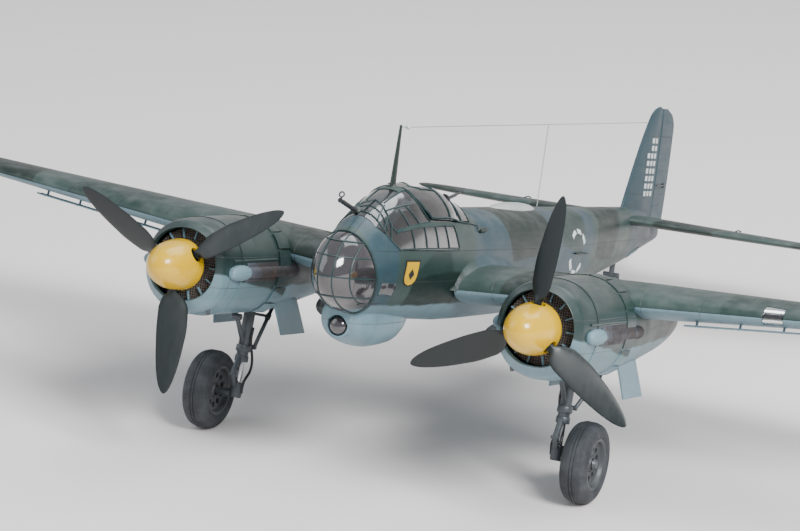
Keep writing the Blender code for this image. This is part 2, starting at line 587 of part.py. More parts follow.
def build_engine(name, side, wing):
    """One nacelle with its cowling, annular radiator and two exhausts. Returns the outline that others are cut by."""
    x = side * ENGINE_X
    keepout = place(f"keepout_engine_{name}",
                    loft([engine_ring(station, side, SEAM) for station in COWL + NACELLE]))
    nacelle = place(f"nacelle_{name}", loft([engine_ring(station, side) for station in NACELLE]),
                    material("blue_grey_paint", (0.19, 0.31, 0.36)))
    bay = place(f"cut_wheel_bay_{name}", block((x - 0.36, x + 0.36), (3.20, 4.72), (-1.6, -0.66)))
    combine(nacelle, "DIFFERENCE", wing, bay)

    mouth = [(x + COWL_MOUTH * math.sin(turn), 1.30, THRUST_Z + COWL_MOUTH * math.cos(turn))
             for turn in (math.tau * i / 20 for i in range(20))]
    outer = [engine_ring(station, side) for station in COWL]
    inner = [engine_ring(station, side, -WALL) for station in COWL[1:]]
    bm = loft(outer + inner[::-1] + [mouth])
    bm.faces.ensure_lookup_table()
    ends = [face for face in bm.faces if len(face.verts) == 20]
    bmesh.ops.delete(bm, geom=ends, context="FACES_ONLY")
    bmesh.ops.bridge_loops(bm, edges=[edge for edge in bm.edges if edge.is_boundary])
    place(f"cowl_{name}", bm, material("cowl_blue_grey", (0.28, 0.38, 0.42)))

    core = [(0.16, 1.44), (0.495, 1.44), (0.495, 1.60), (0.16, 1.60)]
    place(f"radiator_{name}", turned(core, (x, 0, THRUST_Z), (0, 1, 0), 20),
          material("radiator_dark", (0.02, 0.018, 0.016)))
    pipe = [(0.0, 1.50), (0.08, 1.54), (0.11, 1.70), (0.11, 1.95), (0.085, 2.06), (0.085, 3.48), (0.07, 3.70),
            (0.0, 3.74)]
    for out, where in ((side, "outer"), (-side, "inner")):
        exhaust = place(f"exhaust_{name}_{where}",
                        turned(pipe, (x + out * EXHAUST_OUT, 0, EXHAUST_Z), (0, 1, 0), 12),
                        material("exhaust_brown", (0.05, 0.055, 0.065), 0.7, 0.3))
        combine(exhaust, "DIFFERENCE", keepout)
    return keepout


def blade(angle, side):
    """One broad propeller blade, lofted from its round root to its round tip and twisted along its length."""
    rings = []
    for reach, half, thick, twist, offset in BLADE:
        pitch = BLADE_PITCH + math.radians(twist)
        ring = []
        for i in range(8):
            turn = math.tau * i / 8
            along, off = offset + half * math.cos(turn), thick * math.sin(turn)
            across = along * math.cos(pitch) - off * math.sin(pitch)
            aft = along * math.sin(pitch) + off * math.cos(pitch)
            ring.append(Matrix.Rotation(-angle, 3, "Y") @ Vector((reach, aft, across)))
        rings.append([point + Vector((side * ENGINE_X, PROP_Y, THRUST_Z)) for point in ring])
    return loft(rings)


def build_propeller(name, side):
    """Hub, shaft and three blades in one piece, and the spinner that covers the hub. Both turn on the shaft."""
    pivot = (side * ENGINE_X, PROP_Y, THRUST_Z)
    hub = [(0.0, PROP_Y - 0.16), (0.15, PROP_Y - 0.14), (0.15, 1.28), (SHAFT_RADIUS, 1.30),
           (SHAFT_RADIUS, 1.90), (0.0, 1.90)]
    centre = (pivot[0], 0, pivot[2])
    propeller = place(f"propeller_{name}", turned(hub, centre, (0, 1, 0), 12),
                      material("propeller_black_green", (0.025, 0.033, 0.033), 0.5), pivot)
    outside, inside = [], []
    for line, steps, wall in ((outside, 7, 0.0), (inside, 5, WALL)):
        for i in range(steps + 1):
            turn = math.pi / 2 * i / steps
            y = SPINNER_BASE_Y - (SPINNER_BASE_Y - SPINNER_TIP_Y - wall) * math.sin(turn)
            line.append(((SPINNER_RADIUS - wall) * math.cos(turn) ** 0.9 if i < steps else 0.0, y))
    spinner = place(f"spinner_{name}", turned((outside[::-1] + inside), centre, (0, 1, 0), 16),
                    material("spinner_yellow", (0.85, 0.62, 0.03), 0.4), pivot)
    blades, slots = [], []
    for i in range(3):
        angle = BLADE_ANGLE[name] + math.tau * i / 3
        way = Vector((math.cos(angle), 0, math.sin(angle)))
        blades.append(place(f"add_blade_{name}_{i}", blade(angle, side)))
        start, end = Vector(pivot) + 0.22 * way, Vector(pivot) + 0.70 * way
        slots.append(place(f"cut_blade_slot_{name}_{i}", rod(start, end, 0.105, 10)))
    combine(propeller, "UNION", *blades)
    combine(spinner, "DIFFERENCE", *slots)


# Undercarriage.


def down():
    """The direction of the ground as the level airframe sees it."""
    return Vector((0, math.sin(GROUND_ANGLE), -math.cos(GROUND_ANGLE)))


def ground_height(y, z):
    """Height of an airframe point above the ground, which the main wheels set."""
    axle = Vector((0, AXLE_Y, AXLE_Z))
    return WHEEL_APOTHEM + (axle - Vector((0, y, z))).dot(down())


def wheel(centre, apothem, width, facets, bore, tread):
    """A wheel with a flat-faceted tread, one facet down, and an open bore for its axle."""
    rim = apothem / math.cos(math.pi / facets)
    half = width / 2
    section = [(bore, -half * 0.60), (0.52 * rim, -half * 0.60), (0.62 * rim, -half), (0.86 * rim, -half),
               (rim, -half * tread)]
    profile = section + [(radius, -along) for radius, along in section[::-1]]
    start = Matrix.Rotation(math.pi / facets, 3, "X") @ down()
    return turned(profile, centre, (1, 0, 0), facets, start)


def build_main_gear(name, side, engine):
    """One main leg with its axle and braces, its wheel, and the two doors beside it."""
    metal = material("gear_grey", (0.07, 0.08, 0.09), 0.5)
    x, wheel_x = side * LEG_X, side * WHEEL_X
    top, foot = Vector((x, LEG_TOP_Y, LEG_TOP_Z)), Vector((x, AXLE_Y, AXLE_Z))

    def at(z):
        return top.lerp(foot, (LEG_TOP_Z - z) / (LEG_TOP_Z - AXLE_Z))

    leg = place(f"gear_leg_{name}", rod(top, at(COLLAR_Z - 0.12), 0.085, 12), metal)
    ahead = Vector((0, -0.13, 0))
    pieces = [
        rod(at(COLLAR_Z), foot, 0.055, 12),
        rod(at(COLLAR_Z + 0.05), at(COLLAR_Z - 0.05), 0.11, 12),
        rod(at(COLLAR_Z - 0.10), at(COLLAR_Z - 0.20), 0.10, 12),
        rod(foot - Vector((side * 0.07, 0, 0)), Vector((side * (WHEEL_X + 0.13), AXLE_Y, AXLE_Z)),
            AXLE_RADIUS, 12),
        rod(at(AXLE_Z + 0.16), at(AXLE_Z - 0.03), 0.085, 12),
        rod(at(COLLAR_Z - 0.15), at(-2.0) + ahead, 0.030, 8),
        rod(at(-2.0) + ahead, at(AXLE_Z + 0.12), 0.030, 8),
        rod(top - Vector((side * 0.18, 0, 0)), top + Vector((side * 0.18, 0, 0)), 0.05, 10),
        rod(at(COLLAR_Z + 0.02), (x, 3.00, -1.14), 0.036, 8),
    ]
    combine(leg, "UNION", *[place(f"add_leg_{name}_{i}", bm) for i, bm in enumerate(pieces)])

    knee = at(COLLAR_Z) + Vector((0, 0.17, 0.02))
    brace = place(f"gear_brace_{name}", rod(knee + Vector((-0.10, 0, 0)), knee + Vector((0.10, 0, 0)), 0.035, 8), metal)
    spans = [(knee + Vector((out * 0.09, 0, 0)),
              Vector((side * ENGINE_X + out * 0.20, 4.25, -0.80))) for out in (-1, 1)]
    struts = [rod(low, high, 0.030, 8) for low, high in spans]
    struts.append(rod(*[low.lerp(high, 0.55) for low, high in spans], 0.022, 8))
    combine(brace, "UNION", *[place(f"add_brace_{name}_{i}", bm) for i, bm in enumerate(struts)])

    place(f"main_wheel_{name}", wheel((wheel_x, AXLE_Y, AXLE_Z), WHEEL_APOTHEM, WHEEL_WIDTH, WHEEL_FACETS,
                                      AXLE_RADIUS + CLEAR, 0.35),
          material("tyre_black", (0.03, 0.032, 0.036), 0.8), pivot=(wheel_x, AXLE_Y, AXLE_Z))
    for out, where in ((1, "outer"), (-1, "inner")):
        door_x = side * (ENGINE_X + out * 0.47)
        splay = side * out * 0.08
        rings = []
        for z, shift, low, high in GEAR_DOOR:
            rings.append([(door_x + splay * shift + thick, y, z) for thick, y in
                          ((-0.014, low), (0.014, low), (0.014, high), (-0.014, high))])
        door = place(f"gear_door_{name}_{where}", loft(rings), material("underside_blue", (0.24, 0.34, 0.42)))
        combine(door, "DIFFERENCE", engine)


def build_tail_wheel():
    """The tail wheel and the fork that trails it behind its swivel."""
    metal = material("gear_grey", (0.07, 0.08, 0.09), 0.5)
    radius = ground_height(TAIL_AXLE_Y, TAIL_AXLE_Z)
    crown_z = TAIL_AXLE_Z + radius + 0.07
    pivot = (0.0, TAIL_PIVOT_Y, crown_z)
    arm_x = TAIL_WHEEL_WIDTH / 2 + CLEAR + 0.025
    fork = place("tail_fork", rod((0, TAIL_PIVOT_Y, POST_TOP_Z), (0, TAIL_PIVOT_Y, crown_z), 0.045, 10),
                 metal, pivot)
    crown = (0.0, TAIL_PIVOT_Y, crown_z)
    pieces = [rod((-arm_x - 0.02, crown[1], crown_z), (arm_x + 0.02, crown[1], crown_z), 0.04, 8)]
    pieces += [rod((out * arm_x, crown[1], crown_z), (out * arm_x, TAIL_AXLE_Y, TAIL_AXLE_Z), 0.024,
                   8) for out in (-1, 1)]
    pieces.append(rod((-arm_x - 0.03, TAIL_AXLE_Y, TAIL_AXLE_Z), (arm_x + 0.03, TAIL_AXLE_Y, TAIL_AXLE_Z),
                      0.028, 8))
    combine(fork, "UNION", *[place(f"add_tail_fork_{i}", bm) for i, bm in enumerate(pieces)])
    place("tail_wheel", wheel((0, TAIL_AXLE_Y, TAIL_AXLE_Z), radius, TAIL_WHEEL_WIDTH, TAIL_WHEEL_FACETS,
                              0.028 + CLEAR, 0.35),
          material("tyre_black", (0.03, 0.032, 0.036), 0.8), pivot=(0, TAIL_AXLE_Y, TAIL_AXLE_Z))


# Tail surfaces.


def build_fin_and_rudder(hull):
    """The fin stands on the fuselage, and the rudder turns about its own round nose behind it."""
    paint = material("blue_grey_paint", (0.19, 0.31, 0.36))
    back = HINGE_Y - 0.075 - CLEAR
    rings = [[(0, lead, z), (0.55 * half, lead + 0.05, z), (half, lead + 0.5 * (back - lead), z),
              (0.8 * half, back, z),
              (-0.8 * half, back, z), (-half, lead + 0.5 * (back - lead), z), (-0.55 * half, lead + 0.05, z)]
             for z, lead, half in FIN]
    combine(place("tail_fin", loft(rings), paint), "DIFFERENCE", hull)
    rings = []
    for z, trail, half in RUDDER:
        nose = [(half * math.sin(turn), HINGE_Y - half * math.cos(turn), z)
                for turn in (math.radians(angle) for angle in (-90, -45, 0, 45, 90))]
        rings.append(nose + [(0.55 * half, HINGE_Y + 0.55 * (trail - HINGE_Y), z), (0.006, trail, z),
                             (-0.006, trail, z),
                             (-0.55 * half, HINGE_Y + 0.55 * (trail - HINGE_Y), z)])
    place("rudder", loft(rings), paint, pivot=(0, HINGE_Y, 1.5))


def build_tailplane(name, side, hull):
    """One half of the tailplane and its elevator, which turns about its round nose."""
    paint = material("grey_green_paint", (0.17, 0.22, 0.20))
    rings = []
    for x, lead, trail, half in TAILPLANE:
        chord = trail - lead
        top = [(x, lead + share * chord, TAILPLANE_Z + half * bulge(share)) for share in (0.0, 0.04, 0.15,
                                                                                          0.4, 0.7, 1.0)]
        under = [(x, y, 2 * TAILPLANE_Z - z) for x, y, z in top[-2:0:-1]]
        rings.append(top + under)
    plane = place(f"tailplane_{name}", loft(mirrored(rings, side)), paint)
    nose = 0.062
    outline = [(side * (ELEVATOR_X[0] - CLEAR), ELEVATOR_HINGE_Y - nose - CLEAR),
               (side * (ELEVATOR_X[1] + CLEAR), ELEVATOR_HINGE_Y - nose - CLEAR),
               (side * (ELEVATOR_X[1] + CLEAR), 14.0), (side * (ELEVATOR_X[0] - CLEAR), 14.0)]
    bay = place(f"cut_elevator_bay_{name}", prism(outline, 0.0, 1.2, axis="z"))
    combine(plane, "DIFFERENCE", hull, bay)
    rings = []
    for x, trail, half in ((ELEVATOR_X[0], 13.61, nose), (3.30, 13.505, 0.038),
                           (ELEVATOR_X[1], 13.36, 0.028)):
        points = [(x, ELEVATOR_HINGE_Y - half * math.cos(turn), TAILPLANE_Z + half * math.sin(turn))
                  for turn in (math.radians(angle) for angle in (-90, -45, 0, 45, 90))]
        rings.append(points + [(x, trail, TAILPLANE_Z + 0.006), (x, trail, TAILPLANE_Z - 0.006)])
    place(f"elevator_{name}", loft(mirrored(rings, side)), paint,
          pivot=(side * ELEVATOR_X[0], ELEVATOR_HINGE_Y, TAILPLANE_Z))


def build_airframe():
    """The empty that stands the level airframe on the ground, over the origin."""
    airframe = bpy.data.objects.new("airframe", None)
    bpy.context.scene.collection.objects.link(airframe)
    airframe.rotation_euler.x = -GROUND_ANGLE
    airframe.location = Vector((0, -MIDDLE_Y, ground_height(0, 0))) * FULL


def main():
    for old in list(bpy.data.objects):
        bpy.data.objects.remove(old)
    build_airframe()
    hull, opening = build_hull_helpers()
    build_fuselage(opening)
    nose = build_nose_glazing()
    blisters = build_canopy()
    build_cockpit()
    build_gondola(hull, nose)
    build_guns(hull, blisters)
    build_spine(hull)
    for name, side in SIDES.items():
        wing = build_wing(name, side, hull)
        build_dive_brake(name, side, wing)
        build_store(name, side, wing, hull)
        engine = build_engine(name, side, wing)
        build_propeller(name, side)
        build_main_gear(name, side, engine)
        build_tailplane(name, side, hull)
    build_tail_wheel()
    build_fin_and_rudder(hull)
    bpy.context.view_layer.update()


main()
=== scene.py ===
"""Finished surfaces, glass, paint and stage of a twin-engined bomber display model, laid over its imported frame."""

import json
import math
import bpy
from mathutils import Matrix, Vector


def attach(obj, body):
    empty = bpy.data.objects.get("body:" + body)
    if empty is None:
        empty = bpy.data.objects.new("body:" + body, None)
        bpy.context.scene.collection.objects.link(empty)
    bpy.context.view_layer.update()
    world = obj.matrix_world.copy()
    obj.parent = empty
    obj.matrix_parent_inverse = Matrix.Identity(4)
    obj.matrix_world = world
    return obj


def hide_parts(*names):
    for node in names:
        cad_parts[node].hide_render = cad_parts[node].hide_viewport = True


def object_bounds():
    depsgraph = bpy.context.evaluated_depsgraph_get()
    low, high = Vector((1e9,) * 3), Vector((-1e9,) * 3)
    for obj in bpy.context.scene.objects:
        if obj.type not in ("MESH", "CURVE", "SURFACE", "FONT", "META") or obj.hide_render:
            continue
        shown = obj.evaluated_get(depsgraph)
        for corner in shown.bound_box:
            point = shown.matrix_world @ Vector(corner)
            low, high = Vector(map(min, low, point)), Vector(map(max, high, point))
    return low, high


bl_info = {
    "name": "Glazed-Nose Bomber Model",
    "version": (1, 0, 0),
    "blender": (4, 5, 0),
    "location": "View3D > Sidebar > Bomber",
    "description": "Builds the finished skins, glazing, engines, gear and markings of a display model of a bomber",
    "category": "Object",
}

import bpy
from bpy.props import FloatVectorProperty, PointerProperty
from mathutils import Matrix, Vector

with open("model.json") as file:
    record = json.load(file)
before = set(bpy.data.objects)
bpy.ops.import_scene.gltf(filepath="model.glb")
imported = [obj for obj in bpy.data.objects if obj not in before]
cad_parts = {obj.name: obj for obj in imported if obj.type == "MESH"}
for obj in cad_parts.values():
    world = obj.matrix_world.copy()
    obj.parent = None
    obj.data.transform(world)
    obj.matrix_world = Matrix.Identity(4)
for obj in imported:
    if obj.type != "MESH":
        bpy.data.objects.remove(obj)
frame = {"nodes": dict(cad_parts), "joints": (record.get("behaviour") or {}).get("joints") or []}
CAD_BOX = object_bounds()
SPINS = {joint["name"]: joint for joint in frame["joints"]}
SIDES = {"port": 1, "starboard": -1}

# All places below are in metres of the full-size aircraft, level, with the nose at Y = 0 and port at +X.
FULL = 1 / 48
ENGINE = Vector((2.65, 1.10, -0.37))  # where the port propeller turns
AFT = Vector(SPINS["propeller_port_spin"]["axis"])
LEVEL = Matrix((Vector((1, 0, 0)), AFT, Vector((1, 0, 0)).cross(AFT))).transposed()
HOME = Vector(SPINS["propeller_port_spin"]["pos_m"]) - LEVEL @ ENGINE * FULL

# Fuselage sections: Y at Z = 0, lean of the section, half-width, top, bottom, squareness.
HULL = (
    (0.93, 0.45, 0.430, 0.52, -0.60, 2.00),
    (1.27, 0.12, 0.465, 0.79, -0.63, 2.00),
    (1.50, 0.00, 0.495, 0.93, -0.65, 2.05),
    (1.85, 0.00, 0.535, 1.06, -0.67, 2.10),
    (2.15, 0.00, 0.560, 1.13, -0.69, 2.20),
    (2.75, 0.00, 0.590, 1.12, -0.73, 2.30),
    (3.40, 0.00, 0.605, 1.06, -0.76, 2.40),
    (3.90, 0.00, 0.615, 0.94, -0.78, 2.50),
    (4.38, 0.00, 0.620, 0.78, -0.78, 2.60),
    (4.70, 0.00, 0.620, 0.82, -0.78, 2.60),
    (6.50, 0.00, 0.610, 0.82, -0.77, 2.60),
    (8.00, 0.00, 0.560, 0.82, -0.66, 2.60),
    (9.50, 0.00, 0.460, 0.82, -0.47, 2.60),
    (11.00, 0.00, 0.340, 0.82, -0.27, 2.60),
    (12.10, 0.00, 0.250, 0.82, -0.12, 2.60),
    (13.20, 0.00, 0.160, 0.80, 0.08, 2.60),
    (13.58, 0.00, 0.130, 0.50, 0.16, 2.60),
    (14.15, 0.00, 0.080, 0.48, 0.26, 2.60),
    (14.30, 0.00, 0.035, 0.43, 0.31, 2.60),
)
WALL = 0.040
GLASS_WALL = 0.030
NOSE_TIP_Y, NOSE_TIP_Z, NOSE_POWER = 0.15, -0.05, 1.9
CANOPY_OUTLINE = ((1.05, 1.4), (1.06, 0.62), (1.24, 0.50), (1.50, 0.33), (3.40, 0.33), (3.22, 0.72),
                  (2.36, 0.74), (2.12, 1.02), (2.12, 1.4))
BLISTER_OUTLINE = ((2.13, 1.4), (2.13, 1.03), (2.37, 0.755), (3.23, 0.735), (4.37, 0.68), (4.37, 1.4))
CANOPY_OPENING = ((1.04, 1.5), (1.05, 0.615), (1.23, 0.495), (1.493, 0.32), (3.412, 0.32), (3.235, 0.70),
                  (4.38, 0.66), (4.38, 1.5))
# How far the rear canopy's two blisters swell out of the fuselage's outline, by Y.
BLISTERS = ((2.08, 0.00), (2.35, 0.04), (2.65, 0.065), (2.95, 0.07), (3.20, 0.05), (3.42, 0.01), (4.40, 0.00))
GONDOLA_X = -0.15
# Gondola sections: Y, half-width, top, bottom.
GONDOLA = (
    (1.12, 0.20, -0.50, -0.76),
    (1.28, 0.30, -0.45, -0.95),
    (1.55, 0.37, -0.40, -1.06),
    (1.90, 0.39, -0.40, -1.115),
    (2.45, 0.38, -0.40, -1.09),
    (2.75, 0.34, -0.40, -1.00),
    (2.95, 0.28, -0.45, -0.90),
)
LENS_SPOT, LENS_RADIUS = Vector((-0.14, 1.20, -0.80)), 0.14

# Cowling and nacelle sections: Y, half-width, top, bottom.
COWL = (
    (1.30, 0.530, 0.155, -0.905),
    (1.37, 0.600, 0.225, -1.000),
    (1.55, 0.635, 0.262, -1.070),
    (2.00, 0.660, 0.290, -1.095),
    (3.05, 0.665, 0.300, -1.100),
)
NACELLE = (
    (3.06, 0.665, 0.300, -1.100),
    (3.60, 0.650, 0.290, -1.110),
    (4.20, 0.605, 0.240, -1.060),
    (5.00, 0.510, 0.100, -0.970),
    (5.98, 0.385, -0.100, -0.850),
    (6.84, 0.230, -0.220, -0.670),
    (7.30, 0.055, -0.430, -0.520),
)
NACELLE_POWER = 2.2
COWL_MOUTH = 0.505
WHEEL_BAY = ((3.20, 4.72), 0.36)  # its Y stretch and half-width
BLADE_ANGLE = {"port": math.radians(84.7), "starboard": math.radians(152.5)}
BLADE_PITCH = math.radians(28)
# Blade sections: distance from the hub, half-width, half-thickness, extra twist in degrees, sideways offset.
BLADE = (
    (0.10, 0.060, 0.060, 0, 0.000),
    (0.37, 0.062, 0.058, 0, 0.000),
    (0.46, 0.150, 0.044, 8, 0.010),
    (0.62, 0.208, 0.036, 6, 0.025),
    (0.85, 0.212, 0.028, 3, 0.028),
    (1.15, 0.188, 0.020, 0, 0.020),
    (1.42, 0.152, 0.014, -3, 0.010),
    (1.64, 0.102, 0.010, -5, 0.002),
    (1.76, 0.052, 0.007, -6, 0.000),
    (1.80, 0.018, 0.004, -6, 0.000),
)
SPINNER_RADIUS, SPINNER_BASE_Y, SPINNER_TIP_Y = 0.36, 1.25, 0.50
EXHAUST_Z, EXHAUST_OUT = -0.40, 0.655

WING_LE_Y, WING_BEND_X, WING_SWEEP = 3.45, 3.3, 0.143
ROOT_X, WING_TIP_X, ROOT_Z, DIHEDRAL = 0.6, 9.6, -0.25, 0.075
# Wing stations: X, share of the chord cut off the front and off the back.
WING_CUTS = ((0.58, 0.0, 0.0), (9.60, 0.0, 0.0), (9.85, 0.06, 0.10), (9.99, 0.20, 0.25), (10.04, 0.34, 0.42))
AILERON_X, AILERON_HINGE = (5.90, 9.50), 0.75
LIGHT_X = (5.00, 5.28)
BRAKE_X = (3.90, 6.60)
RACK_X, BOMB_Z, BOMB_RADIUS = 1.30, -0.800, 0.20

LEG_X, WHEEL_X, AXLE_Y, AXLE_Z = 2.50, 2.92, 3.30, -2.29
TYRE_RADIUS, WHEEL_WIDTH, AXLE_RADIUS = 0.575, 0.40, 0.055
LEG_TOP_Y, LEG_TOP_Z, COLLAR_Z = 3.44, -0.80, -1.62
GEAR_DOOR = ((-0.86, 0.0, 3.45, 4.26), (-1.12, 0.55, 3.58, 4.40), (-1.38, 1.0, 3.72, 4.55))
TAIL_AXLE_Y, TAIL_AXLE_Z, TAIL_PIVOT_Y = 12.30, -0.68, 12.17
TAIL_WHEEL_WIDTH = 0.15

HINGE_Y, CLEAR = 13.66, 0.018
FIN = ((0.40, 11.98, 0.11), (0.85, 12.19, 0.10), (2.30, 13.00, 0.055), (2.48, 13.20, 0.04),
       (2.555, 13.44, 0.02))
RUDDER = ((0.545, 14.49, 0.065), (1.00, 14.50, 0.065), (2.20, 14.44, 0.050), (2.40, 14.30, 0.040),
          (2.53, 13.95, 0.025))
TAILPLANE_Z, ELEVATOR_HINGE_Y, ELEVATOR_X = 0.62, 13.06, (0.30, 3.72)
TAILPLANE = ((0.10, 11.98, 13.62, 0.085), (3.50, 12.50, 13.50, 0.050), (3.85, 12.68, 13.36, 0.035),
             (3.98, 12.88, 13.16, 0.015))
ELEVATOR = ((0.30, 13.61, 0.062), (3.30, 13.505, 0.038), (3.72, 13.36, 0.028))
MAST_Y, MAST_Z = 2.06, (1.04, 1.98)


def linear(red, green, blue):
    """A display colour of 0 to 255 as the linear one that Blender's colour sockets take."""
    return tuple((part / 255) ** 2.2 for part in (red, green, blue))


# Places and curves.


def full(point):
    """A full-size airframe place as the model's own place in the frame."""
    return HOME + LEVEL @ Vector(point) * FULL


def slope(table, row, column):
    """Steepness of a table's smooth curve at one of its rows."""
    steps = [(table[i + 1][column] - table[i][column]) / (table[i + 1][0] - table[i][0])
             for i in (row - 1, row) if 0 <= i < len(table) - 1]
    if len(steps) == 1:
        return steps[0]
    return 2 * steps[0] * steps[1] / (steps[0] + steps[1]) if steps[0] * steps[1] > 0 else 0.0


def blended(table, at):
    """The values of a table of sections at any place between its rows, on curves that don't overshoot."""
    at = min(max(at, table[0][0]), table[-1][0])
    row = max(i for i in range(len(table) - 1) if table[i][0] <= at)
    near, beyond = table[row], table[row + 1]
    step = beyond[0] - near[0]
    t = (at - near[0]) / step
    values = []
    for column in range(1, len(near)):
        start, end = slope(table, row, column) * step, slope(table, row + 1, column) * step
        values.append(near[column] * (2 * t ** 3 - 3 * t ** 2 + 1) + beyond[column] * (3 * t ** 2 - 2 * t ** 3)
                      + start * (t ** 3 - 2 * t ** 2 + t) + end * (t ** 3 - t ** 2))
    return values


def oval(half, top, bottom, power, turn):
    """(x, z) of a squarish oval at an angle from its top over +X."""
    side, up = math.sin(turn), math.cos(turn)
    reach = (abs(side) ** power + abs(up) ** power) ** (-1 / power)
    return half * reach * side, (top + bottom) / 2 + (top - bottom) / 2 * reach * up


def hull(y, turn, grow=0.0):
    """A place on the fuselage's outline, or that far off it."""
    lean, half, top, bottom, power = blended(HULL, y)
    grow = max(grow, -0.45 * half)
    x, z = oval(half + grow, top + grow, bottom - grow, power, turn)
    return Vector((x, y - lean * z, z))


def on_hull(spot, grow=0.0):
    """The place on the fuselage's outline nearest above a rough spot."""
    x, y, z = spot
    y += blended(HULL, y)[0] * z
    half, top, bottom = blended(HULL, y)[1:4]
    turn = math.atan2(x / half, (z - (top + bottom) / 2) * 2 / (top - bottom))
    return hull(y, turn, grow)


def swollen(y, turn, grow=0.0):
    """A place on the rear canopy, whose two blisters meet in a groove on the centre line."""
    swell = blended(BLISTERS, y)[0]
    x, y, z = hull(y, turn, grow)
    rise = min(max((z - 0.60) / 0.2, 0.0), 1.0)
    return Vector((x * (1 + swell), y, z + swell * (1 - 1.9 * math.exp(-(x / 0.10) ** 2)) * rise))


def on_blister(spot, grow=0.0):
    """The place on the rear canopy nearest above a rough spot."""
    x, y, z = spot
    half, top, bottom = blended(HULL, y)[1:4]
    return swollen(y, math.atan2(x / half, (z - (top + bottom) / 2) * 2 / (top - bottom)), grow)


def nose_ring(share, turn, shrink=0.0):
    """A place on the nose dome, from the fuselage's front edge (share 0) towards the tip (share 1)."""
    y, lean, half, top, bottom, power = HULL[0]
    size = (1 - share ** NOSE_POWER) ** (1 / NOSE_POWER) * (1 - shrink / half)
    middle = (top + bottom) / 2 * (1 - share) + NOSE_TIP_Z * share
    tall = (top - bottom) / 2 * size
    x, z = oval(half * size, middle + tall, middle - tall, power, turn)
    return Vector((x, (y - 0.005 - lean * z) * (1 - share) + (NOSE_TIP_Y + shrink) * share, z))


def on_nose(spot, grow=0.0):
    """The place on the nose dome in front of a spot's X and Z."""
    half, top, bottom, power = HULL[0][2:]
    x, _, z = spot
    low, high = 0.0, 1.0
    for _ in range(30):
        share = (low + high) / 2
        size = max((1 - share ** NOSE_POWER) ** (1 / NOSE_POWER), 1e-6)
        middle = (top + bottom) / 2 * (1 - share) + NOSE_TIP_Z * share
        out = abs(x / (half * size)) ** power + abs((z - middle) / ((top - bottom) / 2 * size)) ** power
        low, high = (share, high) if out < 1 else (low, share)
    turn = math.atan2(x / half, (z - middle) * 2 / (top - bottom))
    return nose_ring(share, turn, -grow)


def engine_ring(y, turn, side, grow=0.0):
    """A place on the cowling or the nacelle."""
    half, top, bottom = blended(COWL[:-1] + NACELLE, y)
    x, z = oval(half + grow, top + grow, bottom - grow, NACELLE_POWER, turn)
    return Vector((side * ENGINE.x + x, y, z))


def bulge(share):
    """Height of the wing section's surface along its chord: 0 at both edges and 1 where it is thickest."""
    return 10 * (0.2969 * math.sqrt(share) - 0.1260 * share - 0.3516 * share ** 2 + 0.2843 * share ** 3
                 - 0.1036 * share ** 4)


def wing(x, share, surface=0, grow=0.0):
    """A place on the port wing: on its top (surface 1), underneath (-1) or on its chord line (0)."""
    front, back = blended(WING_CUTS, x)
    along = min(x, WING_TIP_X) - WING_BEND_X
    lead = WING_LE_Y + WING_SWEEP * max(0.0, along)
    chord = 6.77 - (0.170 if along > 0 else 0.0926) * along - lead
    lead, chord = lead + front * chord, chord * (1 - front - back)
    thick = (0.165 - 0.006 * (x - ROOT_X)) * chord
    z = ROOT_Z + DIHEDRAL * (x - ROOT_X) - 0.02 * chord * share
    height = (0.0, 0.62, -0.38)[surface] * thick * bulge(share)
    return Vector((x, lead + chord * share, z + height + surface * grow))


# Modelling tools.


def deselect():
    bpy.ops.object.select_all(action="DESELECT")


def only(*pieces):
    """Selects just these pieces, the first one active."""
    deselect()
    for piece in pieces:
        piece.select_set(True)
    bpy.context.view_layer.objects.active = pieces[0]


def edited(piece, *steps):
    """Runs edit-mode steps on all of a piece."""
    only(piece)
    bpy.ops.object.mode_set(mode="EDIT")
    for step in steps:
        bpy.ops.mesh.select_all(action="SELECT")
        step()
    bpy.ops.object.mode_set(mode="OBJECT")


def fill_open_edges():
    bpy.ops.mesh.select_all(action="DESELECT")
    bpy.ops.mesh.select_non_manifold(extend=False, use_wire=False, use_multi_face=False,
                                     use_non_contiguous=False, use_verts=False)
    bpy.ops.mesh.edge_face_add()


def bridge_open_edges():
    bpy.ops.mesh.select_all(action="DESELECT")
    bpy.ops.mesh.select_non_manifold(extend=False, use_wire=False, use_multi_face=False,
                                     use_non_contiguous=False, use_verts=False)
    bpy.ops.mesh.bridge_edge_loops()


def merge_near():
    bpy.ops.mesh.remove_doubles(threshold=2e-6)


def face_out():
    bpy.ops.mesh.normals_make_consistent(inside=False)


def finished(piece, kind, **settings):
    """Adds a modifier and applies it."""
    step = piece.modifiers.new(kind.title(), kind)
    for name, value in settings.items():
        setattr(step, name, value)
    only(piece)
    bpy.ops.object.modifier_apply(modifier=step.name)
    return piece


def wrapped(name, across, along, place, close=True):
    """A grid laid over a shape: place(u, v) is the full-size place for shares 0 to 1 across and along it."""
    deselect()
    bpy.ops.mesh.primitive_grid_add(x_subdivisions=across, y_subdivisions=along, size=1)
    piece = bpy.context.object
    piece.name = piece.data.name = name
    for vert in piece.data.vertices:
        vert.co = full(place(round((vert.co.x + 0.5) * across) / across,
                             round((vert.co.y + 0.5) * along) / along))
    steps = (merge_near, bpy.ops.mesh.delete_loose, fill_open_edges, face_out) if close else (merge_near,
                                                                                              face_out)
    edited(piece, *steps)
    return piece


def lathe(name, profile, centre, axis, steps=48, close=True):
    """A profile of (radius, distance along the axis) points turned round the axis through centre."""
    axis = Vector(axis).normalized()
    out = axis.orthogonal().normalized()
    last = len(profile) - 1

    def place(u, v):
        radius, along = profile[round(v * last)]
        return Vector(centre) + axis * along + Matrix.Rotation(math.tau * (u % 1), 3, axis) @ out * radius

    return wrapped(name, steps, last, place, close)


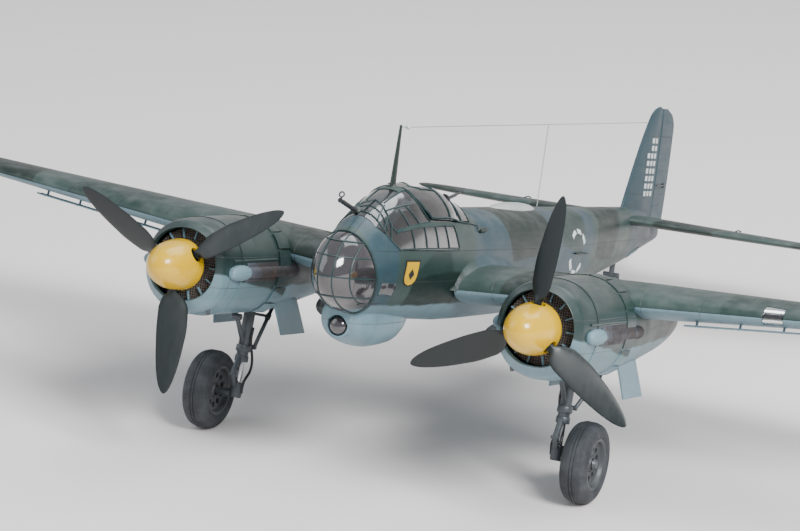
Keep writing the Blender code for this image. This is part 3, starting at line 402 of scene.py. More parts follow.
def rounded_profile(corners, radius=0.01, steps=3):
    """A profile whose inner corners are replaced by short arcs."""
    points = [Vector(corners[0])]
    for before, corner, after in zip(corners, corners[1:], corners[2:]):
        before, corner, after = Vector(before), Vector(corner), Vector(after)
        reach = min(radius, (before - corner).length * 0.45, (after - corner).length * 0.45)
        start = corner + (before - corner).normalized() * reach
        end = corner + (after - corner).normalized() * reach
        for i in range(steps + 1):
            t = i / steps
            points.append(start * (1 - t) ** 2 + corner * 2 * t * (1 - t) + end * t ** 2)
    points.append(Vector(corners[-1]))
    return [tuple(point) for point in points]


def bar(name, start, end, radius, end_radius=None, sides=20, rim=0.15):
    """A round bar between two places, with softened rims."""
    start, end = full(start), full(end)
    deselect()
    bpy.ops.mesh.primitive_cone_add(
        vertices=sides, radius1=radius * FULL, depth=(end - start).length, location=(start + end) / 2,
        radius2=(radius if end_radius is None else end_radius) * FULL,
        rotation=(end - start).to_track_quat("Z", "Y").to_euler())
    piece = bpy.context.object
    piece.name = piece.data.name = name
    bpy.ops.object.transform_apply(location=True, rotation=True, scale=True)
    if rim:
        softened(piece, rim * radius)
    return piece


def hose(name, spots, radius, sides=10, steps=6):
    """A round tube bent smoothly through spots."""
    spots = [Vector(spot) for spot in spots]
    path = []
    padded = [2 * spots[0] - spots[1]] + spots + [2 * spots[-1] - spots[-2]]
    for a, b, c, d in zip(padded, padded[1:], padded[2:], padded[3:]):
        for i in range(steps):
            t = i / steps
            path.append(0.5 * (2 * b + (c - a) * t + (2 * a - 5 * b + 4 * c - d) * t ** 2
                               + (3 * b - a - 3 * c + d) * t ** 3))
    path.append(spots[-1])
    last = len(path) - 1

    def place(u, v):
        i = round(v * last)
        ahead = (path[min(i + 1, last)] - path[max(i - 1, 0)]).normalized()
        side = ahead.cross(Vector((0.31, 0.11, 0.94))).normalized()
        return path[i] + Matrix.Rotation(math.tau * (u % 1), 3, ahead) @ side * radius

    return wrapped(name, sides, last, place)


def ribbon(name, spots, surface, width, height=0.014, steps=6, sink=0.008):
    """A flat strip through spots, laid on a surface."""
    spots = [Vector(spot) for spot in spots]
    path = [a.lerp(b, i / steps) for a, b in zip(spots, spots[1:]) for i in range(steps)] + [spots[-1]]
    foot = [surface(spot, -sink) for spot in path]
    crest = [surface(spot, height) for spot in path]
    last = len(path) - 1

    def place(u, v):
        i, corner = round(v * last), round(u * 4) % 4
        ahead = foot[min(i + 1, last)] - foot[max(i - 1, 0)]
        side = ahead.cross(crest[i] - foot[i]).normalized() * width / 2
        edge = foot[i] if corner in (0, 3) else crest[i] - side * (0.25 if corner == 1 else -0.25)
        return edge + (side if corner in (0, 1) else -side)

    return wrapped(name, 4, last, place)


def patch(name, corners, surface, low, high, across=8, along=8):
    """A thin plate over four rough corners of a surface, between two heights above it."""
    a, b, c, d = map(Vector, corners)

    def place(u, v):
        return surface(a.lerp(b, u).lerp(d.lerp(c, u), v), high)

    return sheet(name, across, along, place, high - low)


def plate(name, corners, thickness, rim=0.004):
    """A flat plate through full-size corners, with softened edges."""
    deselect()
    bpy.ops.mesh.primitive_circle_add(vertices=len(corners), radius=1, fill_type="NGON")
    piece = bpy.context.object
    piece.name = piece.data.name = name
    for vert, corner in zip(piece.data.vertices, corners):
        vert.co = full(corner)
    finished(piece, "SOLIDIFY", thickness=thickness * FULL, offset=0.0)
    edited(piece, face_out)
    if rim:
        softened(piece, rim, angle=40)
    return piece


def sheet(name, across, along, place, thickness, offset=-1.0):
    """A thin wall of full-size thickness laid over a shape."""
    return finished(wrapped(name, across, along, place, close=False), "SOLIDIFY", thickness=thickness * FULL,
                    offset=offset)


def softened(piece, width, segments=2, angle=50):
    """Rounds a piece's edges by a full-size width."""
    return finished(piece, "BEVEL", width=width * FULL, segments=segments, limit_method="ANGLE",
                    angle_limit=math.radians(angle))


def prism(name, outline, low, high, axis="x"):
    """A cutter: a flat outline of (Y, Z) pushed along X, or of (X, Y) pushed along Z."""
    deselect()
    bpy.ops.mesh.primitive_circle_add(vertices=len(outline), radius=1, fill_type="NGON")
    piece = bpy.context.object
    piece.name = name
    for vert, (a, b) in zip(piece.data.vertices, outline):
        vert.co = full((low, a, b) if axis == "x" else (a, b, low))
    push = full((high, 0, 0) if axis == "x" else (0, 0, high)) - full((low, 0, 0) if axis == "x" else (0, 0,
                                                                                                       low))
    edited(piece, lambda: bpy.ops.mesh.extrude_region_move(TRANSFORM_OT_translate={"value": push}), face_out)
    return piece


def cut(piece, *cutters, operation="DIFFERENCE"):
    """Cuts a piece with others, which are then removed."""
    for other in cutters:
        finished(piece, "BOOLEAN", operation=operation, solver="EXACT", object=other)
        bpy.data.objects.remove(other)
    return piece


def joined(name, pieces):
    """Several finished shapes as one piece."""
    only(*pieces)
    if len(pieces) > 1:
        bpy.ops.object.join()
    piece = bpy.context.object
    piece.name = piece.data.name = name
    return piece


# The frame's material slots and the finishes that usually fill them.
FINISHES = {}  # the materials by name, made by the first operator that runs


def finish(name):
    """One of the model's materials, made from the panel's settings at first use."""
    if not FINISHES:
        FINISHES.update(make_finishes(bpy.context.scene.bomber_looks))
    return FINISHES[name]


def repaint(node, paint):
    """Gives a solid of the frame, which stays as it is, a finished material."""
    materials = frame["nodes"][node].data.materials
    materials.clear()
    materials.append(finish(paint))


def settle(piece, paint, nodes=(), body="airframe", smooth=35):
    """Gives a piece its finish and shading, the body it rides on and the frame's nodes it stands for."""
    piece.data.materials.clear()
    piece.data.materials.append(finish(paint))
    only(piece)
    bpy.ops.object.shade_smooth_by_angle(angle=math.radians(smooth))
    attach(piece, body)
    if nodes:
        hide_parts(*nodes)
    return piece


# Paint, glass and metal.


def add(tree, kind, inputs=None, **settings):
    """A shader node with its settings made and its inputs set or linked, by name or number."""
    made = tree.nodes.new(kind)
    for name, value in settings.items():
        setattr(made, name, value)
    for key, value in (inputs or {}).items():
        if isinstance(value, bpy.types.NodeSocket):
            tree.links.new(value, made.inputs[key])
        elif value is not None:
            made.inputs[key].default_value = value
    return made


def maths(tree, operation, *values, clamp=False):
    """The result of one Math node."""
    return add(tree, "ShaderNodeMath", dict(enumerate(values)), operation=operation,
               use_clamp=clamp).outputs[0]


def mixed(tree, share, first, second, blend="MIX"):
    """The result of one colour mix."""
    made = add(tree, "ShaderNodeMix", {0: share, 6: first, 7: second}, data_type="RGBA", blend_type=blend)
    return made.outputs[2]


def faded(tree, value, low, high, start=0.0, end=1.0):
    """A value mapped smoothly from one range on to another."""
    made = add(tree, "ShaderNodeMapRange", {0: value, 1: low, 2: high, 3: start, 4: end},
               interpolation_type="SMOOTHSTEP")
    return made.outputs[0]


def airframe_place(tree):
    """The shading point's full-size place as a vector and as its X, Y and Z."""
    place = add(tree, "ShaderNodeTexCoord").outputs["Object"]
    turn = LEVEL.inverted()
    level = add(tree, "ShaderNodeMapping", {
        "Vector": place, "Scale": (48, 48, 48), "Rotation": turn.to_euler(),
        "Location": turn @ -HOME * 48}).outputs[0]
    split = add(tree, "ShaderNodeSeparateXYZ", {0: level})
    return level, split.outputs[0], split.outputs[1], split.outputs[2]


def new_group(name, inputs, outputs):
    """An empty node group with its sockets: (name, kind, default) for each input, (name, kind) for each output."""
    group = bpy.data.node_groups.new(name, "ShaderNodeTree")
    for title, kind, default in inputs:
        socket = group.interface.new_socket(title, in_out="INPUT", socket_type=f"NodeSocket{kind}")
        if default is not None:
            socket.default_value = default
    for title, kind in outputs:
        group.interface.new_socket(title, in_out="OUTPUT", socket_type=f"NodeSocket{kind}")
    return group, group.nodes.new("NodeGroupInput").outputs, group.nodes.new("NodeGroupOutput")


def enamel_group():
    """Brushed model enamel: tone drift, streaks, washed panel lines, pale worn spots and the relief they leave."""
    group, given, result = new_group(
        "Weathered Enamel",
        (("Place", "Vector", None), ("Colour", "Color", (0.5, 0.5, 0.5, 1)), ("Lines", "Float", 0.0),
         ("Wear", "Float", 0.0), ("Worn Colour", "Color", (0.6, 0.6, 0.58, 1)), ("Drift", "Float", 0.14),
         ("Gloss", "Float", 0.45)),
        (("Colour", "Color"), ("Roughness", "Float"), ("Height", "Float")))
    cloud = add(group, "ShaderNodeTexNoise", {"Vector": given["Place"], "Scale": 1.6, "Detail": 4.0,
                                              "Roughness": 0.6}).outputs[0]
    streak_place = add(group, "ShaderNodeMapping",
                       {"Vector": given["Place"], "Scale": (7.0, 0.7, 2.2)}).outputs[0]
    streak = add(group, "ShaderNodeTexNoise",
                 {"Vector": streak_place, "Scale": 3.0, "Detail": 5.0}).outputs[0]
    grain = add(group, "ShaderNodeTexNoise",
                {"Vector": given["Place"], "Scale": 60.0, "Detail": 3.0}).outputs[0]
    tone = maths(group, "ADD", maths(group, "SUBTRACT", cloud, 0.5),
                 maths(group, "MULTIPLY", maths(group, "SUBTRACT", streak, 0.5), 0.7))
    tone = maths(group, "ADD", tone, maths(group, "MULTIPLY", maths(group, "SUBTRACT", grain, 0.5), 0.25))
    bright = maths(group, "ADD", 1.0, maths(group, "MULTIPLY", maths(group, "MULTIPLY", tone, given["Drift"]), 4.0))
    toned = add(group, "ShaderNodeHueSaturation", {"Value": bright, "Color": given["Colour"]}).outputs[0]
    wash = maths(group, "MULTIPLY", given["Lines"], faded(group, cloud, 0.25, 0.7, 0.45, 0.85))
    washed = mixed(group, wash, toned, (0.02, 0.025, 0.028, 1))
    spots = add(group, "ShaderNodeTexNoise", {"Vector": given["Place"], "Scale": 16.0, "Detail": 6.0,
                                              "Roughness": 0.7}).outputs[0]
    limit = maths(group, "SUBTRACT", 0.80, maths(group, "MULTIPLY", given["Wear"], 0.30))
    worn = maths(group, "MULTIPLY", maths(group, "GREATER_THAN", spots, limit),
                 maths(group, "GREATER_THAN", given["Wear"], 0.02))
    group.links.new(mixed(group, worn, washed, given["Worn Colour"]), result.inputs["Colour"])
    rough = maths(group, "ADD", given["Gloss"],
                  maths(group, "MULTIPLY", maths(group, "SUBTRACT", streak, 0.5), 0.25))
    group.links.new(rough, result.inputs["Roughness"])
    height = maths(group, "SUBTRACT", maths(group, "MULTIPLY", grain, 0.10), given["Lines"])
    height = maths(group, "SUBTRACT", height, maths(group, "MULTIPLY", worn, 0.15))
    group.links.new(height, result.inputs["Height"])
    return group


def dust_group():
    """Pale dust that settles in patches on what faces up."""
    group, given, result = new_group(
        "Settled Dust", (("Place", "Vector", None), ("Amount", "Float", 0.3)), (("Mask", "Float"),))
    up = add(group, "ShaderNodeSeparateXYZ",
             {0: add(group, "ShaderNodeNewGeometry").outputs["Normal"]}).outputs[2]
    cloud = add(group, "ShaderNodeTexNoise",
                {"Vector": given["Place"], "Scale": 4.0, "Detail": 5.0}).outputs[0]
    mask = maths(group, "MULTIPLY", faded(group, up, 0.1, 1.0), faded(group, cloud, 0.35, 0.75))
    group.links.new(maths(group, "MULTIPLY", mask, given["Amount"]), result.inputs["Mask"])
    return group


def use_group(tree, name, inputs):
    """Places a shared node group in a tree."""
    made = tree.nodes.new("ShaderNodeGroup")
    made.node_tree = bpy.data.node_groups[name]
    for key, value in inputs.items():
        if isinstance(value, bpy.types.NodeSocket):
            tree.links.new(value, made.inputs[key])
        else:
            made.inputs[key].default_value = value
    return made.outputs


def blank(name):
    """A new material, its tree and its Principled shader."""
    made = bpy.data.materials.new(name)
    made.use_nodes = True
    return made, made.node_tree, made.node_tree.nodes["Principled BSDF"]


def straight_lines(tree, value, spots, width):
    """A mask of the lines where a value passes each of the spots."""
    near = None
    for spot in spots:
        gap = maths(tree, "ABSOLUTE", maths(tree, "SUBTRACT", value, spot))
        near = gap if near is None else maths(tree, "MINIMUM", near, gap)
    return faded(tree, near, 0.35 * width, width, 1.0, 0.0)


def shape_mask(tree, first, second, corners, soft=0.02):
    """A mask of one convex shape, its corners given anticlockwise in two of the place's directions."""
    inside = None
    for (a, b), (c, d) in zip(corners, corners[1:] + corners[:1]):
        run, rise = c - a, d - b
        long = math.hypot(run, rise)
        value = maths(tree, "MULTIPLY_ADD", first, -rise / long, (a * rise - b * run) / long)
        value = maths(tree, "MULTIPLY_ADD", second, run / long, value)
        inside = value if inside is None else maths(tree, "MINIMUM", inside, value)
    return faded(tree, inside, -soft, soft)


def paint(name, base, patches=(), line_y=(), line_z=(), line_x=(), under=None, under_z=-0.5, gloss=0.45,
          drift=0.14,
          leading=False, width=0.009, wear=0.0, dust=0.10):
    """Weathered enamel with hard-edged patches of other colours and engraved panel lines.
    A patch is (axes, colour, corners); under is the belly's colour below a wavy line at under_z."""
    made, tree, shader = blank(name)
    place, x, y, z = airframe_place(tree)
    x = maths(tree, "ABSOLUTE", x)
    wobble = add(tree, "ShaderNodeTexNoise", {"Vector": place, "Scale": 2.5, "Detail": 2.0}).outputs[0]
    wobble = maths(tree, "MULTIPLY", maths(tree, "SUBTRACT", wobble, 0.5), 0.10)
    values = {"x": maths(tree, "ADD", x, wobble), "y": maths(tree, "ADD", y, wobble),
              "z": maths(tree, "ADD", z, wobble)}
    colour = None
    for axes, tint, corners in patches:
        mask = shape_mask(tree, values[axes[0]], values[axes[1]], list(corners))
        colour = mixed(tree, mask, colour or (*base, 1), (*tint, 1))
    if under:
        mask = faded(tree, values["z"], under_z - 0.02, under_z + 0.02, 1.0, 0.0)
        colour = mixed(tree, mask, colour or (*base, 1), (*under, 1))
    lines = None
    for value, spots in ((y, line_y), (z, line_z), (x, line_x)):
        if spots:
            mask = straight_lines(tree, value, spots, width)
            lines = mask if lines is None else maths(tree, "MAXIMUM", lines, mask)
    worn = wear
    if leading:
        across = add(tree, "ShaderNodeSeparateXYZ",
                     {0: add(tree, "ShaderNodeTexCoord").outputs["UV"]}).outputs[0]
        worn = maths(tree, "ADD", wear, faded(tree, across, 0.0, 0.10, 0.16, 0.0))
    out = use_group(tree, "Weathered Enamel", {
        "Place": place, "Colour": colour or (*base, 1),
        "Lines": maths(tree, "MULTIPLY", lines, 0.6) if lines else 0.0, "Wear": worn, "Drift": drift,
        "Gloss": gloss})
    powder = use_group(tree, "Settled Dust", {"Place": place, "Amount": dust})["Mask"]
    tree.links.new(mixed(tree, powder, out["Colour"], (0.42, 0.44, 0.43, 1)), shader.inputs["Base Color"])
    tree.links.new(out["Roughness"], shader.inputs["Roughness"])
    relief = add(tree, "ShaderNodeBump", {"Height": out["Height"], "Distance": 0.0002, "Strength": 0.55})
    tree.links.new(relief.outputs[0], shader.inputs["Normal"])
    return made


def plain(name, base, gloss=0.5, metal=0.0, drift=0.12, wear=0.0, worn=(0.5, 0.5, 0.48), dust=0.15, coat=0.0):
    """One colour of enamel or metal with the shared weathering."""
    made, tree, shader = blank(name)
    place = airframe_place(tree)[0]
    out = use_group(tree, "Weathered Enamel", {
        "Place": place, "Colour": (*base, 1), "Wear": wear, "Worn Colour": (*worn, 1), "Drift": drift,
        "Gloss": gloss})
    powder = use_group(tree, "Settled Dust", {"Place": place, "Amount": dust})["Mask"]
    tree.links.new(mixed(tree, powder, out["Colour"], (0.42, 0.44, 0.43, 1)), shader.inputs["Base Color"])
    tree.links.new(out["Roughness"], shader.inputs["Roughness"])
    relief = add(tree, "ShaderNodeBump", {"Height": out["Height"], "Distance": 0.0002, "Strength": 0.4})
    tree.links.new(relief.outputs[0], shader.inputs["Normal"])
    shader.inputs["Metallic"].default_value = metal
    shader.inputs["Coat Weight"].default_value = coat
    return made


def clear(name, tint, gloss=0.04, seen_through=1.0):
    """Clear polished plastic with faint smears."""
    made, tree, shader = blank(name)
    place = airframe_place(tree)[0]
    smear = add(tree, "ShaderNodeTexNoise",
                {"Vector": place, "Scale": 5.0, "Detail": 5.0, "Distortion": 0.6}).outputs[0]
    tree.links.new(faded(tree, smear, 0.45, 0.85, gloss, gloss + 0.12), shader.inputs["Roughness"])
    ripple = add(tree, "ShaderNodeTexNoise", {"Vector": place, "Scale": 2.2, "Detail": 1.0}).outputs[0]
    relief = add(tree, "ShaderNodeBump", {"Height": ripple, "Distance": 0.0006, "Strength": 0.35})
    tree.links.new(relief.outputs[0], shader.inputs["Normal"])
    shader.inputs["Base Color"].default_value = (*tint, 1)
    shader.inputs["Transmission Weight"].default_value = seen_through
    shader.inputs["IOR"].default_value = 1.5
    shader.inputs["Coat Weight"].default_value = 1.0
    shader.inputs["Coat IOR"].default_value = 1.6
    shader.inputs["Coat Roughness"].default_value = 0.06
    return made


def tyre_rubber():
    """Matt black rubber, greyed by dust on its tread."""
    made, tree, shader = blank("Tyre Rubber")
    place = airframe_place(tree)[0]
    grain = add(tree, "ShaderNodeTexNoise", {"Vector": place, "Scale": 40.0, "Detail": 6.0}).outputs[0]
    cloud = add(tree, "ShaderNodeTexNoise", {"Vector": place, "Scale": 5.0, "Detail": 4.0}).outputs[0]
    colour = mixed(tree, faded(tree, cloud, 0.35, 0.75), (0.018, 0.021, 0.025, 1), (0.045, 0.050, 0.056, 1))
    tree.links.new(colour, shader.inputs["Base Color"])
    tree.links.new(faded(tree, grain, 0.3, 0.7, 0.62, 0.85), shader.inputs["Roughness"])
    relief = add(tree, "ShaderNodeBump", {"Height": grain, "Distance": 0.0002, "Strength": 0.35})
    tree.links.new(relief.outputs[0], shader.inputs["Normal"])
    return made


def heat_stained():
    """Exhaust metal, blue-grey at the front and rust-brown with soot towards the end."""
    made, tree, shader = blank("Heat Stained Metal")
    place, _, y, _ = airframe_place(tree)
    cloud = add(tree, "ShaderNodeTexNoise",
                {"Vector": place, "Scale": 7.0, "Detail": 6.0, "Roughness": 0.65}).outputs[0]
    aft = maths(tree, "ADD", faded(tree, y, 1.6, 2.6),
                maths(tree, "MULTIPLY", maths(tree, "SUBTRACT", cloud, 0.5), 0.8),
                clamp=True)
    colour = mixed(tree, aft, (0.115, 0.135, 0.175, 1), (0.045, 0.040, 0.042, 1))
    colour = mixed(tree, faded(tree, cloud, 0.56, 0.72), colour, (0.10, 0.055, 0.035, 1))
    tree.links.new(colour, shader.inputs["Base Color"])
    tree.links.new(faded(tree, cloud, 0.3, 0.7, 0.45, 0.75), shader.inputs["Roughness"])
    relief = add(tree, "ShaderNodeBump", {"Height": cloud, "Distance": 0.0003, "Strength": 0.4})
    tree.links.new(relief.outputs[0], shader.inputs["Normal"])
    shader.inputs["Metallic"].default_value = 0.35
    return made


def radiator_mesh():
    """A dark core with a fine square mesh pressed into it."""
    made, tree, shader = blank("Radiator Mesh")
    _, x, _, z = airframe_place(tree)
    cells = [maths(tree, "PINGPONG", value, 0.018) for value in (x, z)]
    wires = maths(tree, "MULTIPLY", faded(tree, cells[0], 0.0, 0.012), faded(tree, cells[1], 0.0, 0.012))
    tree.links.new(mixed(tree, wires, (0.11, 0.085, 0.065, 1), (0.012, 0.010, 0.009, 1)),
                   shader.inputs["Base Color"])
    tree.links.new(faded(tree, wires, 0.0, 1.0, 0.45, 0.85), shader.inputs["Roughness"])
    relief = add(tree, "ShaderNodeBump", {"Height": wires, "Distance": 0.0003, "Strength": 0.8}, invert=True)
    tree.links.new(relief.outputs[0], shader.inputs["Normal"])
    return made


# Hard-edged camouflage: the axes the corners are given in, which of the two darker greens, and the corners.
SIDE_CAMOUFLAGE = (
    ("yz", 2, ((0.80, -0.70), (1.62, -0.70), (1.30, 1.30), (0.80, 1.30))),
    ("yz", 1, ((1.20, 0.62), (1.62, 0.30), (1.80, 1.30), (1.00, 1.30))),
    ("yz", 1, ((1.96, -0.06), (3.30, -0.06), (3.10, 0.30), (2.62, 0.36))),
    ("yz", 0, ((2.02, -0.46), (3.55, -0.60), (3.60, 0.02), (2.05, -0.07))),
    ("yz", 2, ((3.75, -0.60), (9.40, -0.60), (9.90, 1.30), (4.30, 1.30))),
    ("yz", 0, ((5.60, 0.10), (7.20, 0.20), (7.60, 1.20), (5.20, 1.20))),
    ("yz", 1, ((7.90, 0.35), (9.00, 0.10), (9.30, 0.90), (8.20, 0.90))),
    ("yz", 0, ((9.90, 0.05), (11.00, 0.0), (11.60, 0.95), (10.10, 0.95))),
    ("yz", 2, ((12.00, -0.20), (14.40, -0.20), (14.40, 1.30), (12.50, 1.30))),
)
TOP_CAMOUFLAGE = (
    ("xy", 0, ((1.20, 3.20), (2.60, 3.20), (3.90, 7.20), (2.20, 7.20))),
    ("xy", 1, ((4.40, 3.20), (6.10, 3.20), (5.20, 7.20), (4.60, 7.20))),
    ("xy", 0, ((6.50, 3.20), (7.40, 3.20), (8.90, 7.20), (7.10, 7.20))),
    ("xy", 1, ((8.60, 3.20), (10.20, 3.20), (10.20, 7.20), (9.60, 7.20))),
)
TAIL_CAMOUFLAGE = (
    ("xy", 0, ((0.60, 11.90), (1.50, 11.90), (2.30, 13.90), (1.00, 13.90))),
    ("xy", 0, ((2.80, 11.90), (4.10, 11.90), (4.10, 13.90), (3.40, 13.90))),
)
COWL_CAMOUFLAGE = (
    ("yz", 3, ((1.20, -0.42), (3.80, -0.80), (3.80, 0.60), (1.20, 0.60))),
    ("yz", 1, ((2.30, -0.05), (3.80, -0.15), (3.80, 0.60), (2.50, 0.60))),
)
ENGINE_CAMOUFLAGE = (
    ("yz", 1, ((3.10, -0.30), (4.40, -0.50), (4.10, 0.60), (3.50, 0.60))),
    ("yz", 1, ((5.10, -0.75), (6.20, -0.70), (7.40, 0.40), (5.20, 0.40))),
)


def make_finishes(looks):
    """Every material of the model, by its short name."""
    enamel_group()
    dust_group()
    greens = tuple(map(tuple, (looks.dark_green, looks.mid_green, looks.blue_grey, looks.cowl_top)))
    grey, pale = tuple(looks.grey_green), tuple(looks.underside)

    def tinted(patches):
        return [(axes, greens[which], corners) for axes, which, corners in patches]

    return {
        "hull": paint("Fuselage Enamel", grey, tinted(SIDE_CAMOUFLAGE),
                      line_y=(1.16, 1.62, 2.98, 3.44, 4.40, 5.35, 6.50, 7.62, 8.75, 9.90, 11.05, 12.10,
                              13.20),
                      line_z=(0.30, -0.12), line_x=(0.10,), under=pale, under_z=-0.47, gloss=0.42),
        "wing top": paint("Wing Upper Enamel", grey, tinted(TOP_CAMOUFLAGE), line_y=(6.35,),
                          line_x=(1.15, 1.95, 3.34, 4.15, 5.0, 5.86, 6.75, 7.70, 8.65, 9.53), leading=True,
                          gloss=0.45),
        "wing under": paint("Wing Lower Enamel", pale, line_y=(6.35,),
                            line_x=(1.15, 1.95, 3.34, 4.15, 5.0, 5.86, 6.75, 7.70, 8.65, 9.53), leading=True,
                            gloss=0.45, dust=0.0),
        "tail": paint("Tail Enamel", grey, tinted(TAIL_CAMOUFLAGE), line_x=(0.70, 1.50, 2.35, 3.10),
                      gloss=0.5,
                      leading=True),
        "fin": paint("Fin Enamel", tuple(looks.blue_grey), line_z=(1.05, 1.55, 2.05, 2.42), line_y=(12.95,),
                     gloss=0.5),
        "cowl": paint("Cowling Enamel", tuple(looks.cowl), tinted(COWL_CAMOUFLAGE), line_y=(1.56, 3.00),
                      line_z=(-0.18, -0.62),
                      under=pale, under_z=-0.80, gloss=0.34, drift=0.10),
        "nacelle": paint("Nacelle Enamel", grey, tinted(ENGINE_CAMOUFLAGE), line_y=(3.46, 4.2, 5.0, 5.9),
                         line_z=(-0.40,), under=pale, under_z=-0.62, gloss=0.45),
        "belly": paint("Belly Enamel", pale, line_y=(1.62, 2.2, 2.72), line_z=(-0.74,), gloss=0.38,
                       drift=0.10,
                       dust=0.05),
        "pale": plain("Light Blue Enamel", pale, gloss=0.45, wear=0.10, dust=0.05),
        "frame": plain("Canopy Frame Enamel", tuple(looks.canopy_frame), gloss=0.5, drift=0.10),
        "roof": plain("Canopy Roof Enamel", grey, gloss=0.5, drift=0.10),
        "dark green": plain("Dark Green Enamel", greens[0], gloss=0.5),
        # Painted shade: the clear glass's grey tint darkens the cockpit seen through it. The landing light cover uses
        # this glass too.
        "clear": clear("Clear Plastic", tuple(looks.glass)),
        # Painted shade: the nose glass's near-black tint and low see-through stand in for the shade of the dark
        # interior behind it. The chin windows and the gondola lens use this glass too.
        "shade_dark_glass": clear("Nose Plastic", tuple(looks.nose_glass), gloss=0.10, seen_through=0.45),
        "crew": plain("Crew Station Grey", (0.035, 0.038, 0.042), gloss=0.6, wear=0.12, worn=(0.2, 0.2, 0.2)),
        "leather": plain("Cushion Leather", (0.060, 0.034, 0.020), gloss=0.55, dust=0.0),
        "gun": plain("Gun Metal", (0.060, 0.064, 0.070), gloss=0.38, metal=0.75, wear=0.15,
                     worn=(0.35, 0.35, 0.36)),
        "blade": plain("Propeller Enamel", tuple(looks.blade), gloss=0.40, drift=0.10, dust=0.04),
        "spinner": plain("Spinner Enamel", tuple(looks.spinner), gloss=0.28, drift=0.03, dust=0.0, coat=0.4),
        "gear": plain("Gear Enamel", (0.055, 0.064, 0.072), gloss=0.42, metal=0.2, wear=0.16,
                      worn=(0.35, 0.37, 0.38)),
        "steel": plain("Polished Strut", (0.55, 0.56, 0.58), gloss=0.25, metal=1.0, dust=0.0),
        "tyre": tyre_rubber(),
        "hub": plain("Hub Enamel", (0.040, 0.045, 0.050), gloss=0.45, wear=0.18, worn=(0.25, 0.26, 0.27)),
        "exhaust": heat_stained(),
        "core": radiator_mesh(),
        "bomb": plain("Bomb Enamel", (0.030, 0.034, 0.036), gloss=0.42, wear=0.10, worn=(0.2, 0.2, 0.2)),
        "thread": plain("Aerial Thread", (0.35, 0.36, 0.36), gloss=0.5, dust=0.0),
        "cover": plain("Moulded Cover", (0.42, 0.45, 0.42), gloss=0.30, dust=0.2),
        "white": plain("White Marking", (0.62, 0.66, 0.66), gloss=0.5, drift=0.08),
        "badge yellow": plain("Badge Yellow", tuple(looks.spinner), gloss=0.45, drift=0.05, dust=0.0),
        "black": plain("Black Marking", (0.015, 0.015, 0.017), gloss=0.5, dust=0.0),
        "lamp": plain("Lamp Reflector", (0.75, 0.76, 0.78), gloss=0.12, metal=1.0, dust=0.0),
        "red": plain("Tip Light Red", (0.45, 0.02, 0.02), gloss=0.2, dust=0.0, coat=0.5),
        "green": plain("Tip Light Green", (0.02, 0.30, 0.09), gloss=0.2, dust=0.0, coat=0.5),
    }


# Fuselage, glazing and crew station.


def build_fuselage():
    """The two fuselage halves, open for the canopy, with the wing root fillets."""
    for name, side in SIDES.items():
        def place(u, v):
            y = HULL[0][0] + (HULL[-1][0] - HULL[0][0]) * v
            outward = u <= 0.5
            share = u * 2 if outward else (1 - u) * 2
            x, y, z = hull(y, math.pi * share, 0.0 if outward else -WALL)
            return side * max(x, 0.0025), y, z

        half = wrapped(f"fuselage_skin_{name}", 90, 150, place)
        cut(half, prism("canopy_cutter", CANOPY_OPENING, -1.0, 1.0))
        settle(half, "hull", [f"fuselage_{name}"], smooth=30)

        def fillet(u, v):
            y = 3.30 + 3.75 * v
            swell = math.sin(math.pi * min(v * 1.15, 1.0) ** 0.7) ** 0.6 if v < 0.87 else 0.0
            root = wing(0.62, min(max((y - 3.45) / 3.57, 0.0), 1.0), 1)
            z = root.z + 0.20 * (1 - u) * swell - 0.012
            skin = abs(on_hull((0.6, y, z)).x)
            return side * (skin - 0.012 + 0.16 * u ** 2 * swell), y, z

        blend = sheet(f"wing_fillet_{name}", 10, 60, fillet, 0.01)
        settle(blend, "hull", smooth=60)


def build_hull_fittings():
    """Small fittings on the fuselage: chin windows, intake scoop, handles and the rear belly fairing."""
    for name, side in SIDES.items():
        corners = [(side * 0.45, 1.08, -0.12), (side * 0.45, 1.56, -0.12), (side * 0.45, 1.56, -0.35),
                   (side * 0.45, 1.12, -0.34)]
        window = patch(f"chin_window_{name}", corners, on_hull, 0.001, 0.007)
        settle(window, "shade_dark_glass")
        rims = [ribbon(f"rim_{i}", (a, b), on_hull, 0.022, 0.012) for i, (a, b) in
                enumerate(zip(corners, corners[1:] + corners[:1]))]
        settle(joined(f"chin_window_frame_{name}", rims), "hull")
        low, high = (side * 0.6, 8.6, 0.18), (side * 0.6, 9.2, 0.16)
        handle = hose(f"handhold_{name}",
                      [on_hull(low), on_hull(low, 0.05), on_hull(high, 0.05), on_hull(high)], 0.012)
        settle(handle, "dark green")
    spot = Vector((0.55, 4.39, 0.64))

    def scoop(u, v):
        turn = math.tau * (u % 1)
        size = math.sin(math.pi / 2 * min(v * 1.4, 1.0)) if v < 0.999 else 0.0
        base = spot + Vector((0, -0.13 + 0.42 * (1 - v), 0.075 * math.sin(turn) * (0.35 + 0.65 * size)))
        return on_hull(base, 0.055 * max(math.cos(turn), 0.0) * (0.2 + 0.8 * size) - 0.012)

    settle(wrapped("side_intake", 24, 12, scoop), "dark green", smooth=60)
    belly = patch("belly_hatch", ((-0.22, 9.4, -0.6), (0.22, 9.4, -0.6), (0.20, 10.6, -0.6), (-0.20, 10.6, -0.6)),
                  on_hull, 0.002, 0.012)
    settle(belly, "pale")


